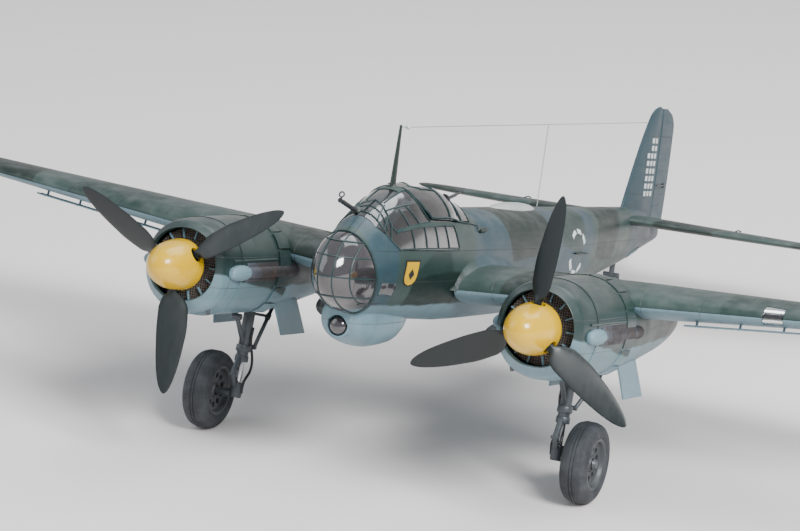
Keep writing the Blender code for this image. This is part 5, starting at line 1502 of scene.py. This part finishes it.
def build_propeller(name, side):
    """Three broad twisted blades on their hub, and the spinner with a slot cut for each blade root."""
    centre = Vector((side * ENGINE.x, ENGINE.y, ENGINE.z))
    body = f"propeller_{name}_body"
    hub = [(0.0, 0.94), (0.15, 0.96), (0.15, 1.28), (0.06, 1.30), (0.06, 1.90), (0.0, 1.90)]
    shapes = [lathe("hub", rounded_profile(hub, 0.01), (centre.x, 0, centre.z), (0, 1, 0), 40)]
    slots = []
    for i in range(3):
        angle = BLADE_ANGLE[name] + math.tau * i / 3

        def blade(u, v):
            reach = BLADE[0][0] + (BLADE[-1][0] - BLADE[0][0]) * v
            half, thick, twist, offset = blended(BLADE, reach)
            pitch = BLADE_PITCH + math.radians(twist)
            turn = math.tau * (u % 1)
            along, off = offset + half * math.cos(turn), thick * math.sin(turn) * (0.75 + 0.25 * math.cos(turn))
            across = along * math.cos(pitch) - off * math.sin(pitch)
            aft = along * math.sin(pitch) + off * math.cos(pitch)
            return centre + Matrix.Rotation(-angle, 3, "Y") @ Vector((reach, aft, across))

        shapes.append(wrapped(f"blade_{i}", 40, 90, blade))
        way = Vector((math.cos(angle), 0, math.sin(angle)))
        slots.append(bar(f"slot_{i}", centre + way * 0.20, centre + way * 0.70, 0.105, sides=32, rim=0))
    settle(joined(f"propeller_finished_{name}", shapes), "blade", [f"propeller_{name}"], body=body, smooth=50)
    profile = []
    for i in range(19):
        turn = math.pi / 2 * i / 18
        profile.append((SPINNER_RADIUS * math.cos(turn) ** 0.9 if i < 18 else 0.0,
                        SPINNER_BASE_Y - (SPINNER_BASE_Y - SPINNER_TIP_Y) * math.sin(turn)))
    inner = [(max(radius - WALL, 0.0), min(y + WALL, SPINNER_BASE_Y)) for radius, y in profile]
    cone = lathe(f"spinner_finished_{name}", profile[::-1] + inner, (centre.x, 0, centre.z), (0, 1, 0), 72)
    cut(cone, *slots)
    settle(cone, "spinner", [f"spinner_{name}"], body=body, smooth=40)
    backplate = lathe(f"spinner_backplate_{name}",
                      rounded_profile([(0.155, 1.235), (0.352, 1.235), (0.352, 1.262), (0.155, 1.262),
                                                                    (0.155, 1.235)], 0.006),
                                                                    (centre.x, 0, centre.z), (0, 1, 0), 64,
                      close=False)
    settle(backplate, "gear", body=body)


# Undercarriage.


def build_main_gear(name, side):
    """One main leg with collars, torque links, brake hose and braces, its wheel, and the two bay doors."""
    x, wheel_x = side * LEG_X, side * WHEEL_X
    top, foot = Vector((x, LEG_TOP_Y, LEG_TOP_Z)), Vector((x, AXLE_Y, AXLE_Z))

    def at(z, out=0.0, aft=0.0):
        return top.lerp(foot, (LEG_TOP_Z - z) / (LEG_TOP_Z - AXLE_Z)) + Vector((out, aft, 0))

    knee = at(-2.00, aft=-0.21)
    shapes = [
        bar("cylinder", top, at(COLLAR_Z - 0.12), 0.085, sides=32),
        bar("collar", at(COLLAR_Z + 0.05), at(COLLAR_Z - 0.05), 0.11, sides=32),
        bar("lower_collar", at(COLLAR_Z - 0.10), at(COLLAR_Z - 0.20), 0.10, sides=32),
        bar("foot", at(AXLE_Z + 0.17), at(AXLE_Z - 0.05), 0.088, sides=32),
        bar("axle", foot - Vector((side * 0.08, 0, 0)), (side * (WHEEL_X + 0.13), AXLE_Y, AXLE_Z),
            AXLE_RADIUS, sides=28),
        bar("cross_pin", top - Vector((0.18, 0, 0)), top + Vector((0.18, 0, 0)), 0.05, sides=20),
        bar("front_rod", at(COLLAR_Z + 0.02), (x, 3.00, -1.14), 0.036, sides=20),
        bar("front_eye", (x - 0.07, 3.0, -1.14), (x + 0.07, 3.0, -1.14), 0.045, sides=20),
        bar("knee_pin", knee - Vector((0.06, 0, 0)), knee + Vector((0.06, 0, 0)), 0.024, sides=16)]
    for start, end in ((at(COLLAR_Z - 0.15, aft=-0.07), knee), (at(AXLE_Z + 0.13, aft=-0.05), knee)):
        way = end - start
        across = way.cross(Vector((1, 0, 0))).normalized()
        link = plate("link", [start - across * 0.055, start + across * 0.055, end + across * 0.028, end - across * 0.028],
                     0.075, 0.012)
        for share in (0.30, 0.58):
            spot = start.lerp(end, share)
            cut(link, bar("hole", spot - Vector((0.2, 0, 0)), spot + Vector((0.2, 0, 0)), 0.022, sides=20, rim=0))
        shapes.append(link)
    settle(joined(f"gear_leg_finished_{name}", shapes), "gear", [f"gear_leg_{name}"])
    settle(bar(f"oleo_{name}", at(COLLAR_Z - 0.02), at(AXLE_Z + 0.10), 0.056, sides=32), "steel")
    out = -side * 0.10
    line = hose(f"brake_hose_{name}", [at(-1.30, out), at(-1.51, out), at(-1.77, out, 0.15), at(-1.95, out, 0.15),
                                       at(-2.10, out), at(AXLE_Z + 0.02, out * 0.9)], 0.020)
    settle(line, "black", smooth=60)

    knee = at(COLLAR_Z) + Vector((0, 0.17, 0.02))
    spans = [(knee + Vector((o * 0.09, 0, 0)),
              Vector((side * ENGINE.x + o * 0.20, 4.25, -0.80))) for o in (-1, 1)]
    shapes = [bar("brace_pin", knee - Vector((0.12, 0, 0)), knee + Vector((0.12, 0, 0)), 0.034)]
    for low, high in spans:
        shapes.append(bar("strut", low, high, 0.030, sides=20))
        shapes.append(bar("sleeve", low.lerp(high, 0.50), low.lerp(high, 0.58), 0.042, sides=20))
    shapes.append(bar("tie", *[low.lerp(high, 0.55) for low, high in spans], 0.022, sides=16))
    settle(joined(f"gear_braces_{name}", shapes), "gear", [f"gear_brace_{name}"])

    build_wheel(f"main_tyre_{name}", Vector((wheel_x, AXLE_Y, AXLE_Z)), TYRE_RADIUS, WHEEL_WIDTH, side,
                f"wheel_{name}_body", f"main_wheel_{name}", AXLE_RADIUS + CLEAR, 10)

    for out, where in ((1, "outer"), (-1, "inner")):
        hinge_x = side * ENGINE.x + side * out * 0.47
        splay = side * out * 0.08

        def door(u, v, hinge_x=hinge_x, splay=splay):
            row = 0 if v <= 0.5 else 1
            one, two, share = GEAR_DOOR[row], GEAR_DOOR[row + 1], v * 2 - row
            z, shift, front, back = (a + (b - a) * share for a, b in zip(one, two))
            return hinge_x + splay * shift, front + (back - front) * u, z

        panel = softened(sheet(f"door_{where}", 12, 16, door, 0.026, offset=0.0), 0.006)
        shapes = [panel]
        for y in (3.72, 4.10):
            shapes.append(bar(f"lug_{y}", (hinge_x - 0.016 * side * out, y, -0.86),
                              (hinge_x - 0.02 * side * out, y + 0.02, -0.70), 0.026, sides=12))
        for z in (-0.98, -1.22):
            level = (z + 0.86) / -0.52
            shapes.append(bar(f"rib_{z}",
                              (hinge_x + splay * level - side * out * 0.016, 3.60 + 0.27 * level, z),
                              (hinge_x + splay * level - side * out * 0.016, 4.22 + 0.27 * level, z), 0.012,
                              sides=10))
        settle(joined(f"gear_door_finished_{name}_{where}", shapes), "pale", [f"gear_door_{name}_{where}"])


def build_wheel(name, centre, radius, width, side, body, node, bore, holes):
    """A tyre with a round shoulder and tread grooves, on a hub with lightening holes."""
    half = width / 2
    arc = [(radius * 0.62, -half * 0.86), (radius * 0.72, -half), (radius * 0.86, -half * 0.97),
           (radius * 0.955, -half * 0.72),
           (radius * 0.990, -half * 0.40)]
    tread = []
    for i in (-1, 0, 1):
        tread += [(radius, half * (0.22 * i - 0.08)), (radius, half * (0.22 * i + 0.07)),
                  (radius * 0.982, half * (0.22 * i + 0.08)), (radius * 0.982, half * (0.22 * i + 0.13))]
    profile = rounded_profile(arc, 0.1, 5) + tread[:-2] + [(r, -y) for r,
                                                           y in rounded_profile(arc, 0.1, 5)[::-1]]
    settle(lathe(name, profile + [(radius * 0.56, 0.6 * half), (radius * 0.56, -0.6 * half), profile[0]],
                 centre, (1, 0, 0), 96,
                 close=False), "tyre", [node], body=body, smooth=28)
    rim = [(bore, -half * 0.55), (radius * 0.16, -half * 0.62), (radius * 0.20, -half * 0.40),
           (radius * 0.52, -half * 0.52),
           (radius * 0.56, -half * 0.86), (radius * 0.635, -half * 0.90), (radius * 0.635, half * 0.90),
           (radius * 0.56, half * 0.86),
           (radius * 0.52, half * 0.52), (radius * 0.20, half * 0.40), (radius * 0.16, half * 0.62),
           (bore, half * 0.55),
           (bore, -half * 0.55)]
    disc = lathe(name + "_hub", rounded_profile(rim, 0.02, 2), centre, (1, 0, 0), 80, close=False)
    for i in range(holes):
        way = Matrix.Rotation(math.tau * (i + 0.5) / holes, 3, "X") @ Vector((0, 1, 0))
        spot = centre + way * radius * 0.37
        cut(disc, bar("hole", spot - Vector((width, 0, 0)), spot + Vector((width, 0, 0)), radius * 0.075, sides=20, rim=0))
    settle(disc, "hub", body=body)
    if radius > 0.3:
        cap = [(0.0, -half * 0.80), (0.05, -half * 0.78), (0.075, -half * 0.62), (0.08, -half * 0.56)]
        settle(lathe(name + "_cap", [(r, y * -side) for r, y in cap], centre + Vector((side * 0.02, 0, 0)),
                     (1, 0, 0), 32), "gear", body=body)


def build_tail_gear():
    """The tail wheel, its swivelling fork, and the open bay's small door."""

    down = LEVEL.transposed() @ Vector((0, 0, -1))
    axle = Vector((0, AXLE_Y, AXLE_Z))
    radius = TYRE_RADIUS + (axle - Vector((0, TAIL_AXLE_Y, TAIL_AXLE_Z))).dot(down)
    crown_z = TAIL_AXLE_Z + radius + 0.07
    arm_x = TAIL_WHEEL_WIDTH / 2 + CLEAR + 0.025
    shapes = [bar("post", (0, TAIL_PIVOT_Y, -0.135), (0, TAIL_PIVOT_Y, crown_z), 0.045, sides=24, rim=0.1),
              bar("crown", (-arm_x - 0.02, TAIL_PIVOT_Y, crown_z), (arm_x + 0.02, TAIL_PIVOT_Y, crown_z),
                  0.040, sides=20),
              bar("axle", (-arm_x - 0.03, TAIL_AXLE_Y, TAIL_AXLE_Z), (arm_x + 0.03, TAIL_AXLE_Y, TAIL_AXLE_Z),
                  0.028, sides=20)]
    for out in (-1, 1):
        shapes.append(bar(f"arm_{out}", (out * arm_x, TAIL_PIVOT_Y, crown_z),
                          (out * arm_x, TAIL_AXLE_Y, TAIL_AXLE_Z), 0.024,
                          sides=16))
    settle(joined("tail_fork_finished", shapes), "gear", ["tail_fork"], body="tail_fork_body")
    build_wheel("tail_tyre", Vector((0, TAIL_AXLE_Y, TAIL_AXLE_Z)), radius, TAIL_WHEEL_WIDTH, 1,
                "tail_wheel_body",
                "tail_wheel", 0.028 + CLEAR, 6)
    for side in (1, -1):
        door = patch(f"tail_bay_door_{side}",
                     [(side * 0.13, 12.45, -0.1), (side * 0.13, 13.0, -0.02), (side * 0.2, 13.0, 0.06),
                                               (side * 0.22, 12.45, -0.02)], on_hull, 0.002, 0.012)
        settle(door, "pale")


# Tail and markings.


def build_fin():
    """The fin and the rudder, the rudder's rib tapes, and its trim tab rod."""
    back = HINGE_Y - 0.075 - CLEAR

    def fin(u, v):
        z = FIN[0][0] + (FIN[-1][0] - FIN[0][0]) * (1 - (1 - v) ** 1.3)
        lead, half = blended(FIN, z)
        share = min(2 * u, 2 - 2 * u) if u < 1 else 0.0
        side = 1 if u <= 0.5 else -1
        along = share ** 1.6
        thick = half * min(math.sin(math.pi * min(along * 0.72 + 0.02, 0.5)) ** 0.6,
                           1.0) * (1 - 0.2 * max(along - 0.6, 0) / 0.4)
        return side * (thick if share > 0 else 0.0), lead + (back - lead) * along, z

    shell = wrapped("tail_fin_finished", 56, 60, fin)
    settle(shell, "fin", ["tail_fin"], smooth=40)

    def rudder(u, v):
        z = RUDDER[0][0] + (RUDDER[-1][0] - RUDDER[0][0]) * v
        trail, half = blended(RUDDER, z)
        if u < 0.25:
            turn = math.radians(90 - 180 * u / 0.25)
            return half * math.sin(turn), HINGE_Y - half * math.cos(turn), z
        share = (u - 0.25) / 0.75
        side = -1 if share < 0.5 else 1
        along = share * 2 if share < 0.5 else 2 - share * 2
        return side * (half * (1 - along) ** 0.8 + 0.006 * along), HINGE_Y + (trail - HINGE_Y) * along, z

    settle(wrapped("rudder_finished", 60, 70, rudder), "fin", ["rudder"], body="rudder_body", smooth=40)

    def on_rudder(side):
        def place(spot, grow=0.0):
            z = spot[2]
            trail, half = blended(RUDDER, min(max(z, RUDDER[0][0]), RUDDER[-1][0]))
            along = min(max((spot[1] - HINGE_Y) / (trail - HINGE_Y), 0.0), 1.0)
            return Vector((side * (half * (1 - along) ** 0.8 + 0.006 * along + grow), spot[1], z))
        return place

    tapes = [ribbon(f"tape_{z}_{side}", ((0, HINGE_Y + 0.05, z), (0, 14.36, z)), on_rudder(side), 0.020,
                    0.004)
             for z in (0.85, 1.15, 1.45, 1.75, 2.05, 2.30) for side in (1, -1)]
    settle(joined("rudder_tapes", tapes), "fin", body="rudder_body")
    tab = [hose("tab_rod", [(0.075, 13.72, 1.20), (0.070, 13.95, 1.20), (0.045, 14.20, 1.20)], 0.012),
           plate("horn", ((0.05, 14.16, 1.16), (0.05, 14.22, 1.16), (0.05, 14.22, 1.24), (0.05, 14.16, 1.24)),
                 0.03)]
    settle(joined("rudder_tab_rod", tab), "gear", body="rudder_body")


def build_tailplane(name, side):
    """One half of the tailplane and its elevator."""
    def plane(u, v):
        x = TAILPLANE[0][0] + (TAILPLANE[-1][0] - TAILPLANE[0][0]) * (1 - (1 - v) ** 1.3)
        lead, trail, half = blended(TAILPLANE, x)
        share = (1 - math.cos(math.pi * min(2 * u, 2 - 2 * u))) / 2
        up = 1 if u <= 0.5 else -1
        return side * x, lead + share * (trail - lead), TAILPLANE_Z + up * half * bulge(share)

    shell = wrapped(f"tailplane_finished_{name}", 60, 80, plane)
    low, high = ELEVATOR_X[0] - CLEAR, ELEVATOR_X[1] + CLEAR
    front = ELEVATOR_HINGE_Y - 0.062 - CLEAR
    cut(shell, prism("elevator_cutter", [(side * low, front), (side * high, front), (side * high, 14.0), (side * low, 14.0)],
                     0.0, 1.2, axis="z"))
    settle(shell, "tail", [f"tailplane_{name}"])

    def elevator(u, v):
        x = ELEVATOR[0][0] + (ELEVATOR[-1][0] - ELEVATOR[0][0]) * v
        trail, half = blended(ELEVATOR, x)
        if u < 0.25:
            turn = math.radians(-90 + 180 * u / 0.25)
            return side * x, ELEVATOR_HINGE_Y - half * math.cos(turn), TAILPLANE_Z + half * math.sin(turn)
        share = (u - 0.25) / 0.75
        up = 1 if share < 0.5 else -1
        along = share * 2 if share < 0.5 else 2 - share * 2
        return side * x, ELEVATOR_HINGE_Y + (trail - ELEVATOR_HINGE_Y) * along, TAILPLANE_Z + up * (half * (1 - along) + 0.006 * along)

    settle(wrapped(f"elevator_finished_{name}", 60, 60, elevator), "tail", [f"elevator_{name}"],
           body=f"elevator_{name}_body")
    rod = hose(f"tailplane_mass_{name}", [(side * 1.9, 12.6, TAILPLANE_Z + 0.07), (side * 1.9, 12.8, TAILPLANE_Z + 0.09),
                                          (side * 1.9, 12.95, TAILPLANE_Z + 0.07)], 0.012)
    settle(rod, "gear")


def on_fin(side):
    """A surface for patch: the place on one side of the fin."""
    back = HINGE_Y - 0.075 - CLEAR

    def place(spot, grow=0.0):
        _, y, z = spot
        lead, half = blended(FIN, z)
        along = min(max((y - lead) / (back - lead), 0.0), 1.0)
        thick = half * min(math.sin(math.pi * min(along * 0.72 + 0.02, 0.5)) ** 0.6, 1.0)
        thick *= 1 - 0.2 * max(along - 0.6, 0) / 0.4
        return Vector((side * (thick + grow), y, z))
    return place


def build_markings():
    """Plain stand-ins for the markings: yellow shields, tally blocks on the tail and broken rings behind the wing."""
    for name, side in SIDES.items():
        shapes = []
        for size, low, high in ((1.0, 0.001, 0.005), (0.86, 0.004, 0.008), (0.40, 0.007, 0.011)):
            def shield(u, v, size=size, high=high, small=size < 0.5):
                along, up = 2 * u - 1, 1 - 2 * v
                if small:
                    reach = 1 - abs(up)
                else:
                    reach = 1.0 if up > -0.1 else math.sqrt(max(1 - ((up + 0.1) / 0.9) ** 2, 0.0))
                spot = (side * 0.56, 1.88 + 0.205 * size * along * reach, -0.02 + 0.215 * size * up)
                return on_hull(spot, high)
            shapes.append(sheet(f"shield_{size}", 14, 18, shield, high - low))
        settle(joined(f"shield_black_{name}", [shapes[0], shapes[2]]), "black")
        shapes[1].name = f"shield_yellow_{name}"
        settle(shapes[1], "badge yellow")

        surface = on_fin(side)
        blocks = [patch(f"block_{y}_{row}",
                        [(0, y, z), (0, y + 0.11, z), (0, y + 0.11, z + 0.085), (0, y, z + 0.085)], surface,
                        0.001, 0.004, 2, 2)
                  for y in (12.98, 13.16,
                            13.34) for row in range(8 if y > 13 else 6) for z in (1.02 + 0.13 * row,)]
        settle(joined(f"tally_blocks_{name}", blocks), "white")
        strokes = []
        for i in range(8):
            if i % 4 == 3:
                continue
            turns = [math.radians(20 + 45 * i + 30 * j / 4) for j in range(5)]
            spots = [(side * 0.5, 8.75 + 0.40 * math.cos(turn),
                      0.20 + 0.36 * math.sin(turn)) for turn in turns]
            strokes.append(ribbon(f"stroke_{i}", spots, on_hull, 0.11, 0.004, 3))
        settle(joined(f"ring_marks_{name}", strokes), "white")


def build_stage():
    """Pale floor with a curved backdrop, three soft lamps, the surroundings' light and the camera."""
    bpy.ops.mesh.primitive_grid_add(x_subdivisions=2, y_subdivisions=64, size=1)
    floor = bpy.context.object
    floor.name = floor.data.name = "studio_floor"
    low = CAD_BOX[0][2]
    for vert in floor.data.vertices:
        share = vert.co.y + 0.5
        along = -1.6 + 5.2 * share
        rise = max(along - 1.5, 0.0)
        vert.co = Vector((vert.co.x * 8, along if rise == 0 else 1.5 + 1.1 * math.sin(min(rise / 1.6, 1.0) * math.pi / 2),
                          low + 1.6 * (1 - math.cos(min(rise / 1.6, 1.0) * math.pi / 2))))
    only(floor)
    bpy.ops.object.shade_smooth()
    material, _, shader = blank("Studio Paper")
    shader.inputs["Roughness"].default_value = 0.75
    shader.inputs["Base Color"].default_value = (0.84, 0.79, 0.765, 1)
    floor.data.materials.append(material)

    world = bpy.context.scene.world or bpy.data.worlds.new("World")
    bpy.context.scene.world = world
    world.use_nodes = True
    background = world.node_tree.nodes["Background"]
    background.inputs["Color"].default_value = (0.92, 0.95, 1.0, 1)
    background.inputs["Strength"].default_value = 0.70
    for name, spot, size, power, colour in (
            ("key", (0.75, -0.60, 0.80), 0.42, 22.0, (0.98, 0.99, 1.0)),
            ("fill", (-0.95, -0.55, 0.65), 0.9, 4.0, (0.88, 0.94, 1.0)),
            ("top", (0.20, 0.45, 1.00), 0.8, 7.0, (0.95, 0.98, 1.0))):
        bpy.ops.object.light_add(type="AREA", location=spot)
        lamp = bpy.context.object
        lamp.name = f"studio_{name}"
        lamp.data.size = size
        lamp.data.energy = power
        lamp.data.color = colour
        lamp.rotation_euler = (-Vector(spot)).to_track_quat("-Z", "Y").to_euler()

    bpy.ops.object.camera_add(location=(0.33205, -0.88377, 0.30049),
                              rotation=[math.radians(angle) for angle in (74.322, -3.320, 23.823)])
    camera = bpy.context.object
    camera.name = "studio_camera"
    camera.data.lens, camera.data.sensor_width, camera.data.clip_start = 136.958, 36.0, 0.01
    bpy.context.scene.camera = camera


# Add-on.


def colour_setting(name, description, default):
    return FloatVectorProperty(name=name, description=description, subtype="COLOR", size=3, min=0.0, max=1.0,
                               default=default)


class BomberLooks(bpy.types.PropertyGroup):
    dark_green: colour_setting("Dark green", "Darkest green of the camouflage", linear(6, 34, 28))
    mid_green: colour_setting("Mid green", "Softer green of the camouflage", linear(28, 50, 46))
    grey_green: colour_setting("Grey green", "Ground colour of the upper surfaces", linear(46, 64, 60))
    underside: colour_setting("Underside", "Light blue of the lower surfaces", linear(100, 126, 136))
    blue_grey: colour_setting("Blue grey", "Colour of the fin and the fuselage sides", linear(42, 64, 72))
    cowl_top: colour_setting("Cowling top", "Darker colour over the engine cowlings", linear(40, 55, 54))
    cowl: colour_setting("Cowling", "Colour of the engine cowlings", linear(92, 118, 126))
    canopy_frame: colour_setting("Canopy frame", "Colour of the glazing frames", linear(22, 48, 50))
    # Its grey default is painted shade of the cockpit seen through the canopy.
    glass: colour_setting("Clear plastic", "Tint of the canopy, darkened as painted shade of the cockpit", (0.30, 0.33, 0.35))
    # Its near-black default is painted shade of the interior seen through the nose glazing.
    nose_glass: colour_setting("Nose plastic darkened as painted shade", "Dark tint of the nose glazing standing in for the shaded interior", (0.05, 0.045, 0.05))
    blade: colour_setting("Propeller", "Colour of the blades", linear(13, 25, 26))
    spinner: colour_setting("Spinner", "Colour of the spinners", (0.62, 0.37, 0.0))


class PieceOperator:
    bl_options = {"REGISTER", "UNDO"}

    def execute(self, context):
        self.build()
        return {"FINISHED"}


class BOMBER_OT_fuselage(PieceOperator, bpy.types.Operator):
    """Builds the fuselage halves and the wing root fillets"""
    bl_idname = "bomber.fuselage"
    bl_label = "Fuselage"

    def build(self):
        build_fuselage()


class BOMBER_OT_hull_fittings(PieceOperator, bpy.types.Operator):
    """Builds the small fittings on the fuselage"""
    bl_idname = "bomber.hull_fittings"
    bl_label = "Fuselage Fittings"

    def build(self):
        build_hull_fittings()


class BOMBER_OT_nose(PieceOperator, bpy.types.Operator):
    """Builds the glazed nose and what shows through it"""
    bl_idname = "bomber.nose"
    bl_label = "Nose Glazing"

    def build(self):
        build_nose()


class BOMBER_OT_canopy(PieceOperator, bpy.types.Operator):
    """Builds the canopy's clear skins and frames"""
    bl_idname = "bomber.canopy"
    bl_label = "Canopy"

    def build(self):
        build_canopy()


class BOMBER_OT_crew_station(PieceOperator, bpy.types.Operator):
    """Builds the seats and fittings inside the canopy"""
    bl_idname = "bomber.crew_station"
    bl_label = "Crew Station"

    def build(self):
        build_crew_station()


class BOMBER_OT_gondola(PieceOperator, bpy.types.Operator):
    """Builds the belly gondola with its lens and gun"""
    bl_idname = "bomber.gondola"
    bl_label = "Gondola"

    def build(self):
        build_gondola()


class BOMBER_OT_guns(PieceOperator, bpy.types.Operator):
    """Builds the nose gun and the two blister guns"""
    bl_idname = "bomber.guns"
    bl_label = "Guns"

    def build(self):
        build_guns()


class BOMBER_OT_spine(PieceOperator, bpy.types.Operator):
    """Builds the aerial mast, its bead and the moulded cover"""
    bl_idname = "bomber.spine"
    bl_label = "Mast and Spine"

    def build(self):
        build_spine()


class BOMBER_OT_wings(PieceOperator, bpy.types.Operator):
    """Builds both wings with their ailerons"""
    bl_idname = "bomber.wings"
    bl_label = "Wings"

    def build(self):
        for name, side in SIDES.items():
            build_wing(name, side)


class BOMBER_OT_landing_light(PieceOperator, bpy.types.Operator):
    """Builds the landing light's cover and lamp"""
    bl_idname = "bomber.landing_light"
    bl_label = "Landing Light"

    def build(self):
        build_landing_light()


class BOMBER_OT_dive_brakes(PieceOperator, bpy.types.Operator):
    """Builds the slatted brakes under the wings"""
    bl_idname = "bomber.dive_brakes"
    bl_label = "Dive Brakes"

    def build(self):
        for name, side in SIDES.items():
            build_dive_brake(name, side)


class BOMBER_OT_stores(PieceOperator, bpy.types.Operator):
    """Builds the bomb racks and the bombs"""
    bl_idname = "bomber.stores"
    bl_label = "Racks and Bombs"

    def build(self):
        for name, side in SIDES.items():
            build_store(name, side)


class BOMBER_OT_engines(PieceOperator, bpy.types.Operator):
    """Builds the cowlings, nacelles, radiators and exhausts"""
    bl_idname = "bomber.engines"
    bl_label = "Engines"

    def build(self):
        for name, side in SIDES.items():
            build_engine(name, side)


class BOMBER_OT_propellers(PieceOperator, bpy.types.Operator):
    """Builds the propellers and the spinners"""
    bl_idname = "bomber.propellers"
    bl_label = "Propellers"

    def build(self):
        for name, side in SIDES.items():
            build_propeller(name, side)


class BOMBER_OT_main_gear(PieceOperator, bpy.types.Operator):
    """Builds the main legs, wheels and doors"""
    bl_idname = "bomber.main_gear"
    bl_label = "Main Gear"

    def build(self):
        for name, side in SIDES.items():
            build_main_gear(name, side)


class BOMBER_OT_tail_gear(PieceOperator, bpy.types.Operator):
    """Builds the tail wheel and its fork"""
    bl_idname = "bomber.tail_gear"
    bl_label = "Tail Gear"

    def build(self):
        build_tail_gear()


class BOMBER_OT_fin(PieceOperator, bpy.types.Operator):
    """Builds the fin and the rudder"""
    bl_idname = "bomber.fin"
    bl_label = "Fin and Rudder"

    def build(self):
        build_fin()


class BOMBER_OT_tailplanes(PieceOperator, bpy.types.Operator):
    """Builds the tailplanes and the elevators"""
    bl_idname = "bomber.tailplanes"
    bl_label = "Tailplanes"

    def build(self):
        for name, side in SIDES.items():
            build_tailplane(name, side)


class BOMBER_OT_markings(PieceOperator, bpy.types.Operator):
    """Lays the plain shields, blocks and rings on the paint"""
    bl_idname = "bomber.markings"
    bl_label = "Markings"

    def build(self):
        build_markings()


class BOMBER_OT_stage(bpy.types.Operator):
    """Builds the floor, the lamps and the camera"""
    bl_idname = "bomber.stage"
    bl_label = "Stage"
    bl_options = {"REGISTER", "UNDO"}

    def execute(self, context):
        build_stage()
        return {"FINISHED"}


OPERATORS = (BOMBER_OT_fuselage,
             BOMBER_OT_hull_fittings,
             BOMBER_OT_nose,
             BOMBER_OT_canopy,
             BOMBER_OT_crew_station,
             BOMBER_OT_gondola,
             BOMBER_OT_guns,
             BOMBER_OT_spine,
             BOMBER_OT_wings,
             BOMBER_OT_landing_light,
             BOMBER_OT_dive_brakes,
             BOMBER_OT_stores,
             BOMBER_OT_engines,
             BOMBER_OT_propellers,
             BOMBER_OT_main_gear,
             BOMBER_OT_tail_gear,
             BOMBER_OT_fin,
             BOMBER_OT_tailplanes,
             BOMBER_OT_markings,
             BOMBER_OT_stage)


class BOMBER_PT_panel(bpy.types.Panel):
    """Settings and build steps of the bomber model"""
    bl_idname = "BOMBER_PT_panel"
    bl_label = "Bomber"
    bl_space_type = "VIEW_3D"
    bl_region_type = "UI"
    bl_category = "Bomber"

    def draw(self, context):
        looks = context.scene.bomber_looks
        for name in BomberLooks.__annotations__:
            self.layout.prop(looks, name)
        for step in OPERATORS:
            self.layout.operator(step.bl_idname)


CLASSES = (BomberLooks, *OPERATORS, BOMBER_PT_panel)


def register():
    for cls in CLASSES:
        bpy.utils.register_class(cls)
    bpy.types.Scene.bomber_looks = PointerProperty(type=BomberLooks)


def unregister():
    del bpy.types.Scene.bomber_looks
    for cls in reversed(CLASSES):
        bpy.utils.unregister_class(cls)


def main():
    register()
    for step in OPERATORS:
        group, name = step.bl_idname.split(".")
        getattr(getattr(bpy.ops, group), name)()


if __name__ == "__main__":
    main()
